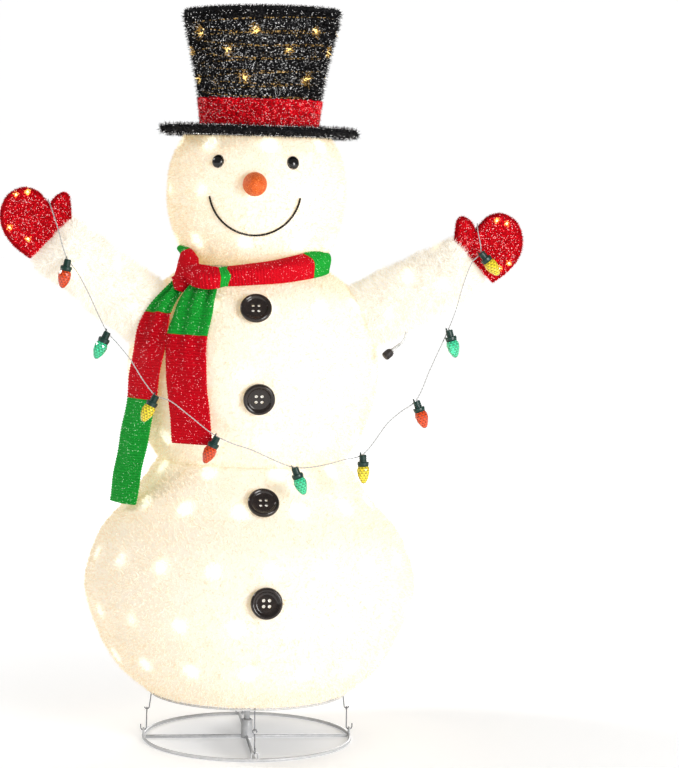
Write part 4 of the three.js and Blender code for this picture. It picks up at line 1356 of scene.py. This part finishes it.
def lead():
    """Short clear lead out of the right sleeve, with its screw connector."""
    line = smooth_curve(LEAD_ROUTE, 60)
    wire = rod(line, LEAD_DIAMETER / 2, 20).build("arm_lead_wire", [CLEAR_VINYL])
    place(wire, "shoulders", "light_wire", "arm_lead")
    centre = np.array(CONNECTOR_CENTRE)
    towards = Vector(line[-1] - centre).normalized()
    turn = towards.to_track_quat("Z", "Y").to_matrix().to_4x4()
    where = Matrix.Translation(Vector(centre)) @ turn
    half = CONNECTOR_HALF
    grip = [
        (0, -half), (0.0068, -half), (0.0082, -half + 0.0015), (0.0082, half - 0.003), (0.0070, half),
        (0, half),
    ]
    shape = turned(grip, 40)
    for x, y, _ in circles([(0.0083, 0)], CONNECTOR_RIDGES)[0]:
        shape.add(*sweep([(x, y, -half + 0.002), (x, y, 0.0), (x, y, half - 0.004)], 0.0006, 6))
    reach = float(np.linalg.norm(line[-1] - centre))
    boot = [
        (0, half - 0.001), (0.0046, half - 0.001), (0.0044, half + 0.006), (0.0030, reach + 0.020),
        (0, reach + 0.020),
    ]
    shape.add(*revolve(boot, 28), 1)
    connector = shape.build("arm_connector_screw", [CONNECTOR, CLEAR_VINYL], transform=where)
    place(connector, "shoulders", "connector_dark", "arm_connector")


# ---- base, pole and hooks --------------------------------------------------------------------
QUARTERS = {"front": -90, "right": 0, "back": 90, "left": 180}


def at_quarter(quarter, points):
    """Turns points given as distance outwards, distance sideways and height to one side of the base."""
    angle = math.radians(QUARTERS[quarter])
    r, t, z = np.array(points, float).T
    x = r * math.cos(angle) - t * math.sin(angle)
    y = r * math.sin(angle) + t * math.cos(angle)
    return np.stack([x, y, z], axis=1)


def base():
    ring = rod(circles([(BASE_RING, BASE_ROD)], 160)[0], BASE_ROD, 16, closed=True)
    eye = [(BASE_RING, -BASE_EYE, BASE_ROD)]
    for angle in np.linspace(math.pi, 0, 17):
        eye.append((BASE_RING, BASE_EYE * math.cos(angle), BASE_EYE * (2 + math.sin(angle))))
    eye.append((BASE_RING, BASE_EYE, BASE_ROD))
    for quarter in QUARTERS:
        ring.add(*sweep(at_quarter(quarter, eye), 0.0022, 10))
    place(ring.build("base_ring_rod", [STEEL]), "root", "white_steel", "base_ring")

    reach = BASE_RING - BASE_ROD - 0.0008
    cross = Shape()
    for x, y in ((reach, 0), (0, reach)):
        cross.add(*sweep([(-x, -y, BASE_ROD), (0, 0, BASE_ROD), (x, y, BASE_ROD)], BASE_ROD, 14))
    hub = [
        (0, 0.0), (0.0115, 0.0), (0.012, 0.0006), (0.012, 0.0392), (0.0112, 0.040), (0.0072, 0.040),
        (0.007, 0.006), (0, 0.006),
    ]
    cross.add(*revolve(hub, 48))
    place(cross.build("base_cross_rods", [STEEL]), "root", "white_steel", "base_cross")


def hoops():
    for name, body, (radius, z, wire) in (("bottom", "root", BOTTOM_HOOP), ("waist", "waist", WAIST_HOOP)):
        hoop = rod(circles([(radius, z)], 160)[0], wire, 12, closed=True)
        place(hoop.build(name + "_hoop_rod", [STEEL]), body, "white_steel", name + "_hoop")


def poles():
    lip = 0.0006
    for name, (body, outer, bore, low, high) in POLE_SECTIONS.items():
        if bore:
            outline = [
                (bore, low), (outer - lip, low), (outer, low + lip), (outer, high - lip),
                (outer - lip, high), (bore, high),
            ]
        else:
            outline = [(0, low), (outer, low), (outer, high), (0, high)]
        pole = turned(outline, 40, closed=bore > 0)
        place(pole.build(name + "_tube", [STEEL]), body, "white_steel", name)


def chains():
    """On each side of the base, a link over the bottom hoop and a hook from it down to the base ring."""
    foot, foot_z = LINK_FOOT
    eye_z = foot_z - 0.0011
    for quarter in QUARTERS:
        points = []
        for angle in np.linspace(0.16, 2 * math.pi - 0.16, 49):
            if math.sin(angle) >= 0:
                centre_r, centre_z = BOTTOM_HOOP[0], BOTTOM_HOOP[1] - 0.0009
            else:
                centre_r, centre_z = foot, foot_z + LINK_BEND
            r, z = centre_r + LINK_BEND * math.cos(angle), centre_z + LINK_BEND * math.sin(angle)
            points.append((r, 0, z))
        link = rod(at_quarter(quarter, points), LINK_WIRE, 10)
        place(link.build(f"link_{quarter}", [ZINC]), "root", "galvanised", f"hook_link_{quarter}")

        points = []
        for angle in np.radians(np.linspace(-40, 230, 17)):
            points.append((foot, HOOK_EYE * math.cos(angle), eye_z + HOOK_EYE * math.sin(angle)))
        points += [(foot + 0.0002, -0.0006, eye_z - 0.007), (BASE_RING - HOOK_BEND, 0, 0.031)]
        for angle in np.linspace(math.pi, 2 * math.pi, 13):
            points.append((BASE_RING + HOOK_BEND * math.cos(angle), 0, 0.023 + HOOK_BEND * math.sin(angle)))
        points.append((BASE_RING + HOOK_BEND, 0, 0.030))
        hook = rod(smooth_curve(at_quarter(quarter, points), 90), HOOK_WIRE, 10)
        place(hook.build(f"hook_{quarter}", [ZINC]), "root", "galvanised", f"base_hook_{quarter}")


camera()
studio()
garland()
lead()
base()
hoops()
poles()
chains()
balls()
hat()
face()
scarf()
buttons()
arms()
